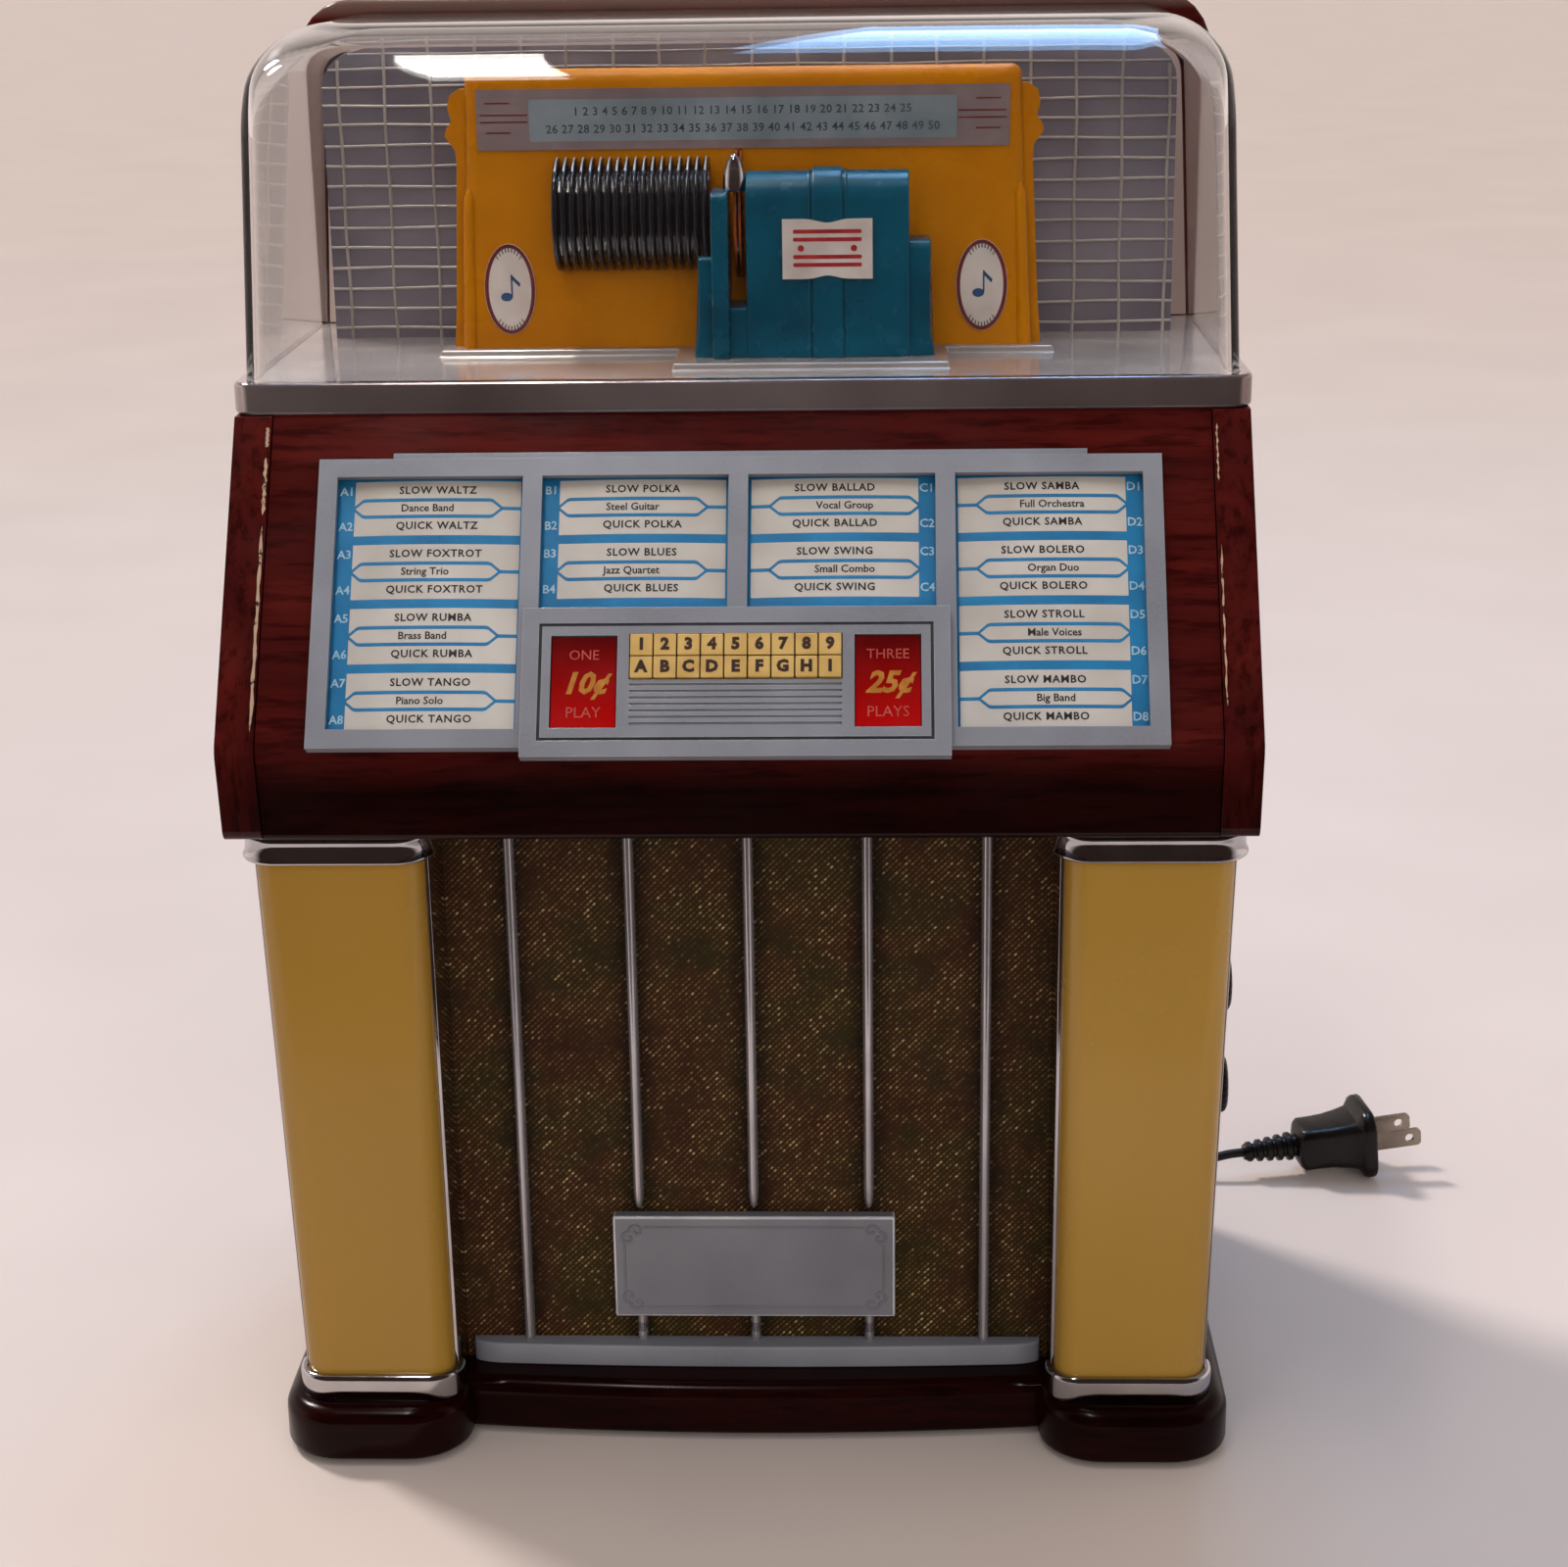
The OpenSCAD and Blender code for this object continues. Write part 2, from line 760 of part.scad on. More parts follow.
// Speaker: a basket with its magnet, and the cone inside it
module speaker() {
    r = speaker_d / 2;
    mouth = r - speaker_rim;
    flange_t = 2.5;
    magnet_r = 0.6 * r;
    magnet_h = 18;
    throat = magnet_r - 10;
    neck = speaker_depth - magnet_h;
    floor_t = 2;
    cone_gap = 1.2;
    cone_t = 1;
    cone_top = mouth - cone_gap;
    cone_foot = throat - cone_gap;
    cone_end = neck - floor_t - fit;
    color([0.15, 0.15, 0.16]) translate([0, stile_front + cloth_t + baffle_t, plinth_top + speaker_rise])
        rotate([-90, 0, 0]) {
            rotate_extrude() polygon([
                [mouth, 0], [r, 0], [r, flange_t], [mouth + flange_t, flange_t], [throat + flange_t, neck],
                [magnet_r, neck], [magnet_r, speaker_depth], [0, speaker_depth], [0, neck - floor_t],
                [throat, neck - floor_t]
            ]);
            rotate_extrude() polygon([
                [cone_top, 0], [cone_foot, cone_end], [0, cone_end], [0, cone_end - cone_t],
                [cone_foot - cone_t, cone_end - cone_t], [cone_top - cone_t, 0]
            ]);
        }
}

// Light columns
module column_slab(z, w, d, inset, back) {
    r = column_round - inset;
    front = channel_front - d + inset;
    translate([0, 0, z]) linear_extrude(fit) polygon(rounded(
        rectangle([column_in + inset, front], [column_in + w - inset, channel_front + back]), [r, r, 0, 0]
    ));
}

module column_form(inset, over) {
    hull() {
        column_slab(column_low - over, column_foot_w, column_foot_d, inset, over);
        column_slab(column_high - fit + over, column_top_w, column_top_d, inset, over);
    }
}

module columns() {
    color([0.8, 0.7, 0.4]) both_sides() difference() {
        column_form(0, 0);
        column_form(column_wall, cut);
    }
}

module column_channels() {
    color(chrome) both_sides() difference() {
        box([channel_in, channel_front, column_low], [channel_out, stile_front, column_high]);
        box(
            [channel_in + channel_t, channel_front - cut, column_low - cut],
            [channel_out - channel_t, stile_front - channel_t, column_high + cut]
        );
    }
}

// Outline of a cap or ring round a column of the given width and depth
module ferrule_outline(w, d, grow) {
    low_x = min(channel_in, column_in) - grow;
    high_x = max(channel_out, column_in + w) + grow;
    polygon(rounded(
        rectangle([low_x, channel_front - d - grow], [high_x, stile_front]),
        [column_round + grow, column_round + grow, 0, 0]
    ));
}

module column_ferrules() {
    outer = ferrule_gap + ferrule_wall;
    flared = outer + cap_flare;
    cap_low_z = console_bottom - cap_h;
    color(chrome) both_sides() {
        difference() {
            along_z(plinth_top, plinth_top + ring_h) ferrule_outline(column_foot_w, column_foot_d, outer);
            along_z(plinth_top - cut, plinth_top + ring_h + cut) ferrule_cut(column_foot_w, column_foot_d);
        }
        difference() {
            union() {
                along_z(cap_low_z, console_bottom) ferrule_outline(column_top_w, column_top_d, outer);
                along_z(cap_low_z, cap_low_z + cap_rim_h) ferrule_outline(column_top_w, column_top_d, flared);
            }
            along_z(cap_low_z - cut, console_bottom - cap_roof) ferrule_cut(column_top_w, column_top_d);
        }
    }
}

// Room for a column and its channel inside a cap or ring, open to the stile behind
module ferrule_cut(w, d) {
    ferrule_outline(w, d, ferrule_gap);
    translate([channel_in - fit, stile_front - cut]) square([channel_w + 2 * fit, 2 * cut]);
}

// Console
module console_profile() {
    inner_top = slope_top_y + skin_t / cos(slope_angle);
    inner_nose_y = nose_y + skin_t;
    inner_nose_z = console_top - (inner_top - inner_nose_y) / tan(slope_angle);
    floor_z = console_bottom + skin_t;
    polygon(rounded(
        [
            [slope_top_y, console_top], [nose_y, nose_z], [nose_y + nose_lean, console_bottom],
            [cover_in, console_bottom], [cover_in, floor_z], [nose_y + nose_lean + skin_t, floor_z],
            [inner_nose_y, inner_nose_z], [inner_top, console_top]
        ],
        [0, nose_round, nose_foot_round, 0, 0, 0, nose_round - skin_t, 0]
    ));
}

module console_shell() {
    window_half = key_block_w / 2 + board_lap / 2;
    color(mahogany) difference() {
        along_x(-cheek_in + fit, cheek_in - fit) console_profile();
        on_slope() slope_block(
            -window_half, window_half, key_top - board_lap / 2, key_top + key_block_l + board_lap / 2,
            -2 * skin_t, cut
        );
    }
}

module side_cheeks() {
    lead = cheek_proud / cos(slope_angle);
    color(mahogany) difference() {
        both_sides() along_x(cheek_in, half_w) polygon(rounded(
            [
                [slope_top_y - lead, console_top], [nose_y - cheek_proud, nose_z],
                [nose_y + nose_lean - cheek_proud, console_bottom],
                [cover_in, console_bottom], [cover_in, console_top]
            ],
            [0, nose_round, cheek_foot_round, 0, 0]
        ));
        screw_holes();
    }
}

// Title frame with its cards
module title_window(i, grow) {
    x = (i - 1.5) * window_pitch;
    inner = i == 1 || i == 2;
    low = inner ? bezel_top + frame_lap : frame_top + frame_rim + window_l;
    polygon(rectangle(
        [x - window_w / 2 - grow, -low - (inner ? 0 : grow)],
        [x + window_w / 2 + grow, -frame_top - frame_rim + grow]
    ));
}

// Outline of the pocket behind the frame, which goes round the key block
module pocket_outline(shrink) {
    half = frame_w / 2 - frame_lap - shrink;
    block = window_pitch + frame_divider / 2 - frame_lap + shrink;
    top = -frame_top - frame_lap - shrink;
    low = -frame_top - frame_l + frame_lap + shrink;
    step = -bezel_top - frame_lap + shrink;
    polygon([
        [-half, low], [-block, low], [-block, step], [block, step], [block, low],
        [half, low], [half, top], [-half, top]
    ]);
}

module title_frame() {
    color(silver) on_slope() difference() {
        union() {
            slope_block(-frame_w / 2, frame_w / 2, frame_top, frame_top + frame_l, 0, frame_t);
            slope_block(-lip_w / 2, lip_w / 2, frame_top - lip_h, frame_top + cut, 0, frame_t / 2);
        }
        along_z(-cut, pocket_t) pocket_outline(0);
        for (i = [0 : 3]) along_z(pocket_t - cut, frame_t + cut) title_window(i, 0);
        for (row = [0 : key_rows - 1]) for (col = [0 : key_cols - 1])
            at_key(col, row) translate([0, 0, -cut]) cylinder(d = stem_d + 2 * stem_fit, h = frame_t + 2 * cut);
    }
}

module title_cards() {
    color([0.85, 0.82, 0.76]) on_slope() for (i = [0 : 3]) along_z(0, card_t) title_window(i, frame_lap / 2);
}

module title_glazing() {
    color([0.8, 0.9, 0.95, 0.4]) on_slope() along_z(card_t, pocket_t) pocket_outline(fit);
}

// Key bezel with its two coin windows and the louvre
module key_bezel() {
    front = frame_t + bezel_t;
    half = key_block_w / 2;
    color(silver) on_slope() difference() {
        slope_block(-bezel_w / 2, bezel_w / 2, bezel_top, bezel_top + bezel_l, frame_t, front);
        slope_block(
            -half - key_gap / 2, half + key_gap / 2, key_top - key_gap / 2, key_top + key_block_l + key_gap / 2,
            frame_t - cut, front + cut
        );
        for (side = [-1, 1]) coin_block(side, fit, frame_t - cut, front + cut);
        for (i = [0 : louvre_count - 1]) slope_block(
            -half, half, louvre_top + i * louvre_pitch, louvre_top + (i + louvre_fill) * louvre_pitch,
            front - louvre_cut, front + cut
        );
        along_z(front - border_cut, front + cut) difference() {
            border_outline(border_line);
            border_outline(border_line + border_w);
        }
    }
}

module border_outline(inset) {
    polygon(rectangle(
        [-bezel_w / 2 + inset, -bezel_top - bezel_l + inset], [bezel_w / 2 - inset, -bezel_top - inset]
    ));
}

// Room for a coin window on one side of the keys
module coin_block(side, grow, out0, out1) {
    middle = bezel_top + bezel_l / 2;
    slope_block(
        side * coin_x - coin_w / 2 - grow, side * coin_x + coin_w / 2 + grow,
        middle - coin_l / 2 - grow, middle + coin_l / 2 + grow, out0, out1
    );
}

module coin_lenses() {
    color([0.65, 0.05, 0.06]) on_slope() for (side = [-1, 1]) coin_block(side, 0, frame_t, frame_t + coin_t);
}

// Keys
module at_key(col, row) {
    x = (col - (key_cols - 1) / 2) * key_pitch;
    y = -key_top - (row + 0.5) * key_pitch;
    translate([x, y, 0]) children();
}

module key(index) {
    half = key_size / 2;
    color([0.88, 0.75, 0.4]) on_slope() at_key(index % key_cols, floor(index / key_cols)) {
        box([-half, -half, cap_low], [half, half, cap_high]);
        translate([0, 0, stem_low]) cylinder(d = stem_d, h = cap_low - stem_low + fit);
        translate([0, 0, stop_low]) cylinder(d = stop_d, h = stop_t);
    }
}

// Switch board behind the keys, on four posts against the back of the fascia
module key_board() {
    half = key_block_w / 2 + 2 * board_lap;
    low = key_top + key_block_l + 2 * board_lap;
    color(circuit_green) on_slope() {
        slope_block(-half, half, key_top - 2 * board_lap, low, key_board_high - key_board_t, key_board_high);
        for (row = [0 : key_rows - 1]) for (col = [0 : key_cols - 1]) at_key(col, row)
            box(
                [-switch_size / 2, -switch_size / 2, key_board_high - fit],
                [switch_size / 2, switch_size / 2, switch_high]
            );
        for (x = [-half + board_lap / 2, half - board_lap / 2])
            for (down = [key_top - 1.5 * board_lap, low - board_lap / 2])
                translate([x, -down, key_board_high - fit])
                    cylinder(d = post_d, h = -skin_t - key_board_high + fit);
    }
}

// Dome, deck and band
module band_outline(inset, back) {
    polygon(rounded(
        rectangle([-band_half + inset, band_front + inset], [band_half - inset, back]),
        [max(band_round - inset, 0), max(band_round - inset, 0), 0, 0]
    ));
}

module chrome_band() {
    color(chrome) difference() {
        along_z(console_top, deck_top) band_outline(0, shell_front);
        along_z(deck_top - deck_t, deck_top + cut) band_outline(band_wall, shell_front + cut);
        along_z(console_top - cut, deck_top) band_outline(band_wall + ledge_w, shell_front + cut);
    }
}

module dome_deck() {
    color(silver) {
        along_z(deck_top - deck_t, deck_top) band_outline(band_wall + fit, shell_front);
        box(
            [-amber_foot_w / 2 - step_margin, amber_y - step_margin, deck_top - fit],
            [amber_foot_w / 2 + step_margin, amber_y + amber_t, step_top]
        );
        box(
            [base_left - step_margin, carriage_front - step_margin, deck_top - fit],
            [base_right + step_margin, amber_y, step_top]
        );
    }
}

module dome_form(inset, over) {
    low = deck_top - over;
    high = dome_top - inset;
    front = dome_front + inset;
    back = shell_front + over;
    foot = dome_foot - inset;
    crown = dome_crown - inset;
    front_r = dome_front_round - inset;
    side_r = dome_side_round - inset;
    corner_r = dome_corner_round - inset;
    intersection() {
        along_x(-foot, foot) polygon(rounded(rectangle([front, low], [back, high]), [0, 0, 0, front_r]));
        along_y(front, back) polygon(rounded(
            [[-foot, low], [foot, low], [crown, high], [-crown, high]],
            [0, 0, side_r, side_r]
        ));
        along_z(low, high)
            polygon(rounded(rectangle([-foot, front], [foot, back]), [corner_r, corner_r, 0, 0]));
    }
}

module dome() {
    color([0.85, 0.9, 0.92, 0.3]) difference() {
        dome_form(0, 0);
        dome_form(dome_wall, cut);
    }
}

module shell_outline(inset) {
    r = shell_round - inset;
    polygon(rounded(
        rectangle([-shell_half + inset, console_top + inset], [shell_half - inset, shell_top - inset]),
        [0, 0, r, r]
    ));
}

module rear_shell() {
    color(mahogany) difference() {
        along_y(shell_front, back_y) shell_outline(0);
        along_y(shell_front + shell_wall, back_y - shell_wall) shell_outline(shell_wall);
        along_y(shell_front - cut, shell_front + shell_wall + cut) shell_outline(shell_rim);
    }
}

module backdrop_grid() {
    y = amber_y + grid_set;
    half = grid_w / 2;
    color(silver) {
        along_y(y, y + grid_t) polygon(rounded(
            rectangle([-half, deck_top], [half, deck_top + grid_h]), [0, 0, dome_side_round, dome_side_round]
        ));
        box([-half, y, deck_top], [half, y + grid_foot, deck_top + grid_t]);
    }
}

// Record player
module mechanism_panel() {
    foot = amber_foot_w / 2;
    shoulder = amber_shoulder_w / 2;
    top = amber_top_w / 2;
    waist = foot - 3.5;
    waist_z = amber_top - 30;
    ear_low = amber_top - 16;
    ear_high = amber_top - 9;
    neck_z = amber_top - 6;
    right = [
        [foot, step_top], [waist, waist_z], [shoulder, ear_low],
        [shoulder, ear_high], [top + 1, neck_z], [top, amber_top]
    ];
    radii = [0, 6, 3, 3, 2, 1];
    left = [for (i = [len(right) - 1 : -1 : 0]) [-right[i][0], right[i][1]]];
    left_radii = [for (i = [len(radii) - 1 : -1 : 0]) radii[i]];
    color([0.8, 0.55, 0.06]) along_y(amber_y, amber_y + amber_t)
        polygon(rounded(concat(right, left), concat(radii, left_radii)));
}

// Printed labels: index strip, two oval badges and the carriage's plate
module mechanism_labels() {
    plate_y = housing_front - rib_proud;
    plate_half = carriage_label_w / 2;
    color("ivory") {
        box([-strip_w / 2, amber_y - label_t, strip_low], [strip_w / 2, amber_y, strip_low + strip_h]);
        both_sides() along_y(amber_y - label_t, amber_y) translate([badge_x, badge_z]) {
            for (end = [-1, 1]) translate([0, end * badge_l / 2]) circle(badge_r);
            square([2 * badge_r, badge_l], center = true);
        }
        box(
            [housing_mid - plate_half, plate_y - label_t, carriage_label_z],
            [housing_mid + plate_half, plate_y, carriage_label_z + carriage_label_h]
        );
    }
}

// Row of records: half discs that stand out of the amber panel
module record_stack() {
    pitch = stack_l / stack_count;
    core_r = record_r - groove;
    comb = [
        for (i = [0 : stack_count - 1])
        let (start = i * pitch, end = (i + record_fill) * pitch)
        each [[record_r, start], [record_r, end], [core_r, end], [core_r, start + pitch]]
    ];
    color([0.08, 0.08, 0.09]) half_disc(post_left - stack_gap - stack_l)
        polygon(concat([[0, 0]], comb, [[0, stack_l]]));
}

module play_record() {
    x = slot_left + (slot_w - play_t) / 2;
    color([0.35, 0.18, 0.1]) half_disc(x) polygon(rectangle([0, 0], [play_r, play_t]));
}

// Turns an outline of radius and length through half a turn in front of the amber panel
module half_disc(x) {
    translate([x, amber_y, record_z]) rotate([0, 90, 0]) rotate([0, 0, 180])
        rotate_extrude(angle = 180) children();
}

module carriage() {
    base_top = step_top + base_h;
    slot_low = record_z - play_r - cut;
    label_half = carriage_label_w / 2 + label_rim;
    color([0.08, 0.45, 0.52]) difference() {
        union() {
            along_y(carriage_front, carriage_back) polygon([
                [base_left, step_top], [base_right, step_top],
                [base_right - base_flare, base_top], [base_left + base_flare, base_top]
            ]);
            carriage_barrel(housing_left, housing_right, 0, housing_top, housing_round);
            carriage_barrel(
                housing_mid - rib_w / 2, housing_mid + rib_w / 2, rib_proud, housing_top, housing_round
            );
            carriage_barrel(post_left, housing_left + cut, post_proud, post_top, shoulder_round);
            carriage_barrel(housing_right - cut, housing_right + shoulder_w, 0, shoulder_top, shoulder_round);
            box(
                [post_left - side_post_w, housing_front, step_top],
                [post_left + cut, side_post_back, side_post_top]
            );
            box(
                [housing_mid - label_half, housing_front - rib_proud, carriage_label_z - label_rim],
                [housing_mid + label_half, carriage_back, carriage_label_z + carriage_label_h + label_rim]
            );
        }
        box([slot_left, carriage_front - cut, slot_low], [housing_left, back_y, shell_top]);
    }
}

// A block of the carriage with its long top edges rounded
module carriage_barrel(x0, x1, proud, top, r) {
    along_x(x0, x1) polygon(rounded(
        rectangle([housing_front - proud, step_top], [carriage_back, top + proud]), [0, 0, r, r + proud]
    ));
}

// Lamps: one behind the amber panel and one in each column
module lamp(place, d, h) {
    translate(place) {
        cylinder(d = d, h = h / 3);
        translate([0, 0, h / 3]) cylinder(d = 0.7 * d, h = h / 2);
        translate([0, 0, h * 5 / 6]) sphere(d = 0.7 * d);
    }
}

module lamps() {
    in_column = [channel_in + channel_w / 2, stile_front - channel_d / 2, plinth_top];
    color([0.95, 0.9, 0.7]) {
        lamp([0, amber_y + grid_set / 2, deck_top], dome_lamp_d, dome_lamp_h);
        both_sides() lamp(in_column, column_lamp_d, column_lamp_h);
    }
}

// Back cover and its screws
module screw_holes() {
    for (p = screw_places)
        rod_y([p[0], cover_in - screw_l - cut, p[1]], screw_d / 2 + fit / 2, screw_l + 2 * cut);
}

module back_cover() {
    vent_w = 52;
    vent_h = 3;
    vent_pitch = 8;
    vent_rows = 8;
    vent_x = 45;
    vent_low = console_bottom - 70;
    color([0.12, 0.08, 0.07]) difference() {
        along_y(cover_in, back_y) {
            polygon(rectangle([-side_out, plinth_top + fit], [side_out, console_bottom + cut]));
            polygon(rectangle([-half_w, console_bottom], [half_w, console_top - fit]));
        }
        for (x = [-vent_x, vent_x]) for (i = [0 : vent_rows - 1]) translate([x, 0, vent_low + i * vent_pitch])
            box([-vent_w / 2, cover_in - cut, -vent_h / 2], [vent_w / 2, back_y + cut, vent_h / 2]);
        for (p = screw_places) {
            rod_y([p[0], cover_in - cut, p[1]], screw_d / 2 + fit / 2, cover_t + 2 * cut);
            rod_y([p[0], back_y - screw_head_t, p[1]], screw_head_d / 2 + fit, screw_head_t + cut);
        }
        rod_y([gland_x, cover_in - cut, gland_z], gland_r, cover_t + 2 * cut);
    }
}

module cover_screws() {
    color(chrome) for (p = screw_places) {
        rod_y([p[0], cover_in - screw_l + cut, p[1]], screw_d / 2, screw_l - cut + cover_t - screw_head_t);
        rod_y([p[0], back_y - screw_head_t, p[1]], screw_head_d / 2, screw_head_t);
    }
}

// Inside: radio board, transformer and the two control units
module main_board() {
    low = plinth_top + inner_board_rise;
    high = low + inner_board_t;
    color(circuit_green) translate([inner_board_x, inner_board_y, 0]) {
        box([0, 0, low], [inner_board_w, inner_board_d, high]);
        for (x = [post_in, inner_board_w - post_in]) for (y = [post_in, inner_board_d - post_in])
            translate([x, y, plinth_top]) cylinder(d = 2 * post_d, h = inner_board_rise + fit);
        for (i = [1 : 4]) translate([i * inner_board_w / 5, inner_board_d / 4, high - fit])
            cylinder(d = sink_t * (1 + i / 4), h = sink_h * (4 + i) / 8);
        translate([inner_board_w / 5, inner_board_d / 2, 0])
            box([0, 0, high - fit], [sink_w, sink_t, high + sink_h]);
    }
}

module transformer() {
    winding_out = 6;
    winding_in = 8;
    tab_half = 5;
    tab_t = 2;
    color([0.3, 0.3, 0.32]) translate([core_x, core_y, plinth_top]) {
        box([-core_w / 2, -core_d / 2, 0], [core_w / 2, core_d / 2, core_h]);
        box(
            [winding_in - core_w / 2, -core_d / 2 - winding_out, winding_in],
            [core_w / 2 - winding_in, core_d / 2 + winding_out, core_h - winding_in]
        );
        box([-core_w / 2 - core_tab, -tab_half, 0], [core_w / 2 + core_tab, tab_half, tab_t]);
    }
}

module control_units() {
    low_x = side_in - unit_d;
    bush_l = board_t + bush_proud + cut;
    color([0.45, 0.42, 0.36]) difference() {
        union() {
            box(
                [low_x, knob_y - unit_half, tuning_z - unit_half],
                [side_in, knob_y + unit_half, tuning_z + unit_half]
            );
            rod_x([low_x, knob_y, volume_z], unit_r, unit_d);
            for (z = [tuning_z, volume_z]) rod_x([side_in - cut, knob_y, z], bush_d / 2, bush_l);
        }
        for (z = [tuning_z, volume_z]) rod_x(
            [low_x + unit_floor, knob_y, z], spindle_r + spindle_fit, unit_d + bush_l
        );
    }
}

// Knob with its moulded spindle
module knob(z) {
    start = side_out + knob_gap;
    bevel = 1.6;
    back_bevel = 0.6;
    r = knob_d / 2;
    spindle_start = side_in - unit_d + unit_floor + cut;
    color([0.06, 0.06, 0.06]) {
        translate([start, knob_y, z]) rotate([0, 90, 0]) rotate_extrude() polygon([
            [0, 0], [r - back_bevel, 0], [r, back_bevel], [r, knob_l - bevel], [r - bevel, knob_l], [0, knob_l]
        ]);
        rod_x([spindle_start, knob_y, z], spindle_r, start - spindle_start + cut);
    }
}

module tuning_knob() {
    knob(tuning_z);
}

module volume_knob() {
    knob(volume_z);
}

// Mains cord
module cord_gland() {
    rib = 1.1;
    rib_cut = 0.7;
    ribs = 6;
    neck_r = 2.6;
    root_r = 4.4;
    flange_t = 2.5;
    lock_t = 2;
    lock_r = gland_r + 1.5;
    flange_r = gland_r + 2.5;
    bore_r = gland_r - fit / 2;
    start = cover_t + flange_t;
    rib_pitch = (relief_l - flange_t) / ribs;
    relief = [
        for (i = [0 : ribs - 1])
        let (r = root_r + (neck_r - root_r) * i / ribs, a = start + i * rib_pitch, b = a + rib_pitch)
        each [[r, a], [r, b - rib], [r - rib_cut, b - rib], [r - rib_cut, b]]
    ];
    color("black") translate([gland_x, cover_in, gland_z]) rotate([-90, 0, 0]) rotate_extrude() polygon(concat(
        [[0, -lock_t], [lock_r, -lock_t], [lock_r, 0], [bore_r, 0], [bore_r, cover_t]],
        [[flange_r, cover_t], [flange_r, start]], relief, [[0, cover_t + relief_l]]
    ));
}

module cord_lead() {
    color("black") tube(lead_route, cord_d / 2, 8);
}

module cord_tail() {
    color("black") tube(tail_route, cord_d / 2, 8);
}

// Coil: the turns run in and out again in four layers, and climb where they reverse
function coil_climb(turn) =
    let (s = [for (i = [1 : 3]) max(0, min(1, (turn - i * coil_leg) / 0.5 + 0.5))])
    s * [1, 1, 1];

function coil_point(turn) =
    let (
        lap = turn % (2 * coil_leg),
        inward = lap < coil_leg ? lap : 2 * coil_leg - lap,
        r = coil_outer - coil_pitch * inward,
        angle = 360 * turn - 90
    )
    [coil_x + r * cos(angle), coil_y + r * sin(angle), coil_low + coil_pitch * coil_climb(turn)];

coil_turn_points = [for (k = [0 : coil_rings * coil_turns]) coil_point(k / coil_rings)];

module cord_coil() {
    points = coil_turn_points;
    last = len(points) - 1;
    apart = coil_rings / 2;
    least = min([for (i = [0 : last]) for (j = [i + apart : 1 : last]) norm(points[i] - points[j])]);
    echo("least gap between the coil's turns", least - cord_d);
    color("black") tube(concat([coil_start - end_run], points, [coil_end + end_run]), cord_d / 2, 6);
}

// Plug: tapered body with a round collar and two flat blades
module plug() {
    collar_r = plug_d / 2;
    collar_bevel = 0.6;
    body_start = -28;
    body_r = 9.5;
    shoulder = -12;
    tail_r = 2.8;
    blade_w = 6.35;
    blade_t = 1.5;
    blade_l = 17.5;
    blade_gap = 12.7;
    blade_hole = 3.2;
    blade_hole_x = 11.9;
    color("black") translate(plug_face) rotate([0, 0, plug_yaw]) rotate([0, -plug_tilt, 0]) {
        rotate([0, 90, 0]) rotate_extrude() polygon([
            [0, -plug_tail], [tail_r, -plug_tail], [1.4 * tail_r, body_start], [body_r - 2, body_start + 2],
            [body_r, shoulder], [collar_r - collar_bevel, -collar_t - collar_bevel], [collar_r, -collar_t],
            [collar_r, -collar_bevel], [collar_r - collar_bevel, 0], [0, 0]
        ]);
        for (side = [-1, 1]) translate([0, side * blade_gap / 2, 0]) difference() {
            box([-cut, -blade_t / 2, -blade_w / 2], [blade_l, blade_t / 2, blade_w / 2]);
            translate([blade_hole_x, 0, 0]) rotate([90, 0, 0])
                cylinder(d = blade_hole, h = 2 * blade_w, center = true);
        }
    }
}

base_plinth();
foot_pads();
lower_cabinet();
console_shell();
side_cheeks();
back_cover();
cover_screws();
rear_shell();
dome();
chrome_band();
dome_deck();
backdrop_grid();
mechanism_panel();
mechanism_labels();
record_stack();
play_record();
carriage();
lamps();
title_frame();
title_cards();
title_glazing();
key_bezel();
coin_lenses();
key_board();
columns();
column_ferrules();
column_channels();
speaker_baffle();
grille_cloth();
grille_trim();
nameplate();
speaker();
main_board();
transformer();
control_units();
tuning_knob();
volume_knob();
cord_gland();
cord_lead();
cord_coil();
cord_tail();
plug();
for (i = [0 : len(KEY_NAMES) - 1])
    key(i);
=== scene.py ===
import json
import math

import bmesh
import bpy
from mathutils import Matrix, Vector


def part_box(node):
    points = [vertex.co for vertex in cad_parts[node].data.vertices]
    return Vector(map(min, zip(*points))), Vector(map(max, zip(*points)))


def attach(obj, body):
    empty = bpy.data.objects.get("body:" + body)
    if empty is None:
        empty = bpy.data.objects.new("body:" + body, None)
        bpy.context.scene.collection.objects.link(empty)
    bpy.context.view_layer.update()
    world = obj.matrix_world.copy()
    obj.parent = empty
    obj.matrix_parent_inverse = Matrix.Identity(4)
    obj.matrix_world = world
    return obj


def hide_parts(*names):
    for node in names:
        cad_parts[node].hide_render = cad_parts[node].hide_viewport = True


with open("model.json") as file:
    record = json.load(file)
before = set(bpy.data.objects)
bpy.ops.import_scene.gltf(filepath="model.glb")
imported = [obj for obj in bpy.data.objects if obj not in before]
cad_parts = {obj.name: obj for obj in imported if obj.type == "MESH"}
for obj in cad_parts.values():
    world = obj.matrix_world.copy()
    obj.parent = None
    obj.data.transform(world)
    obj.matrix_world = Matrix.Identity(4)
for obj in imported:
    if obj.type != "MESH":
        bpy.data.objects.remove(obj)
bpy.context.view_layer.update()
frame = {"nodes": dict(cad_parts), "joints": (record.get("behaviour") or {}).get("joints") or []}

# Jukebox table radio: finishes, cord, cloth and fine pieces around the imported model.
# Metres. +X is right, -Y is the front, +Z is up, and the table is at z = 0.
MM = 0.001
CAD = frame["nodes"]
CABINET = "cabinet"
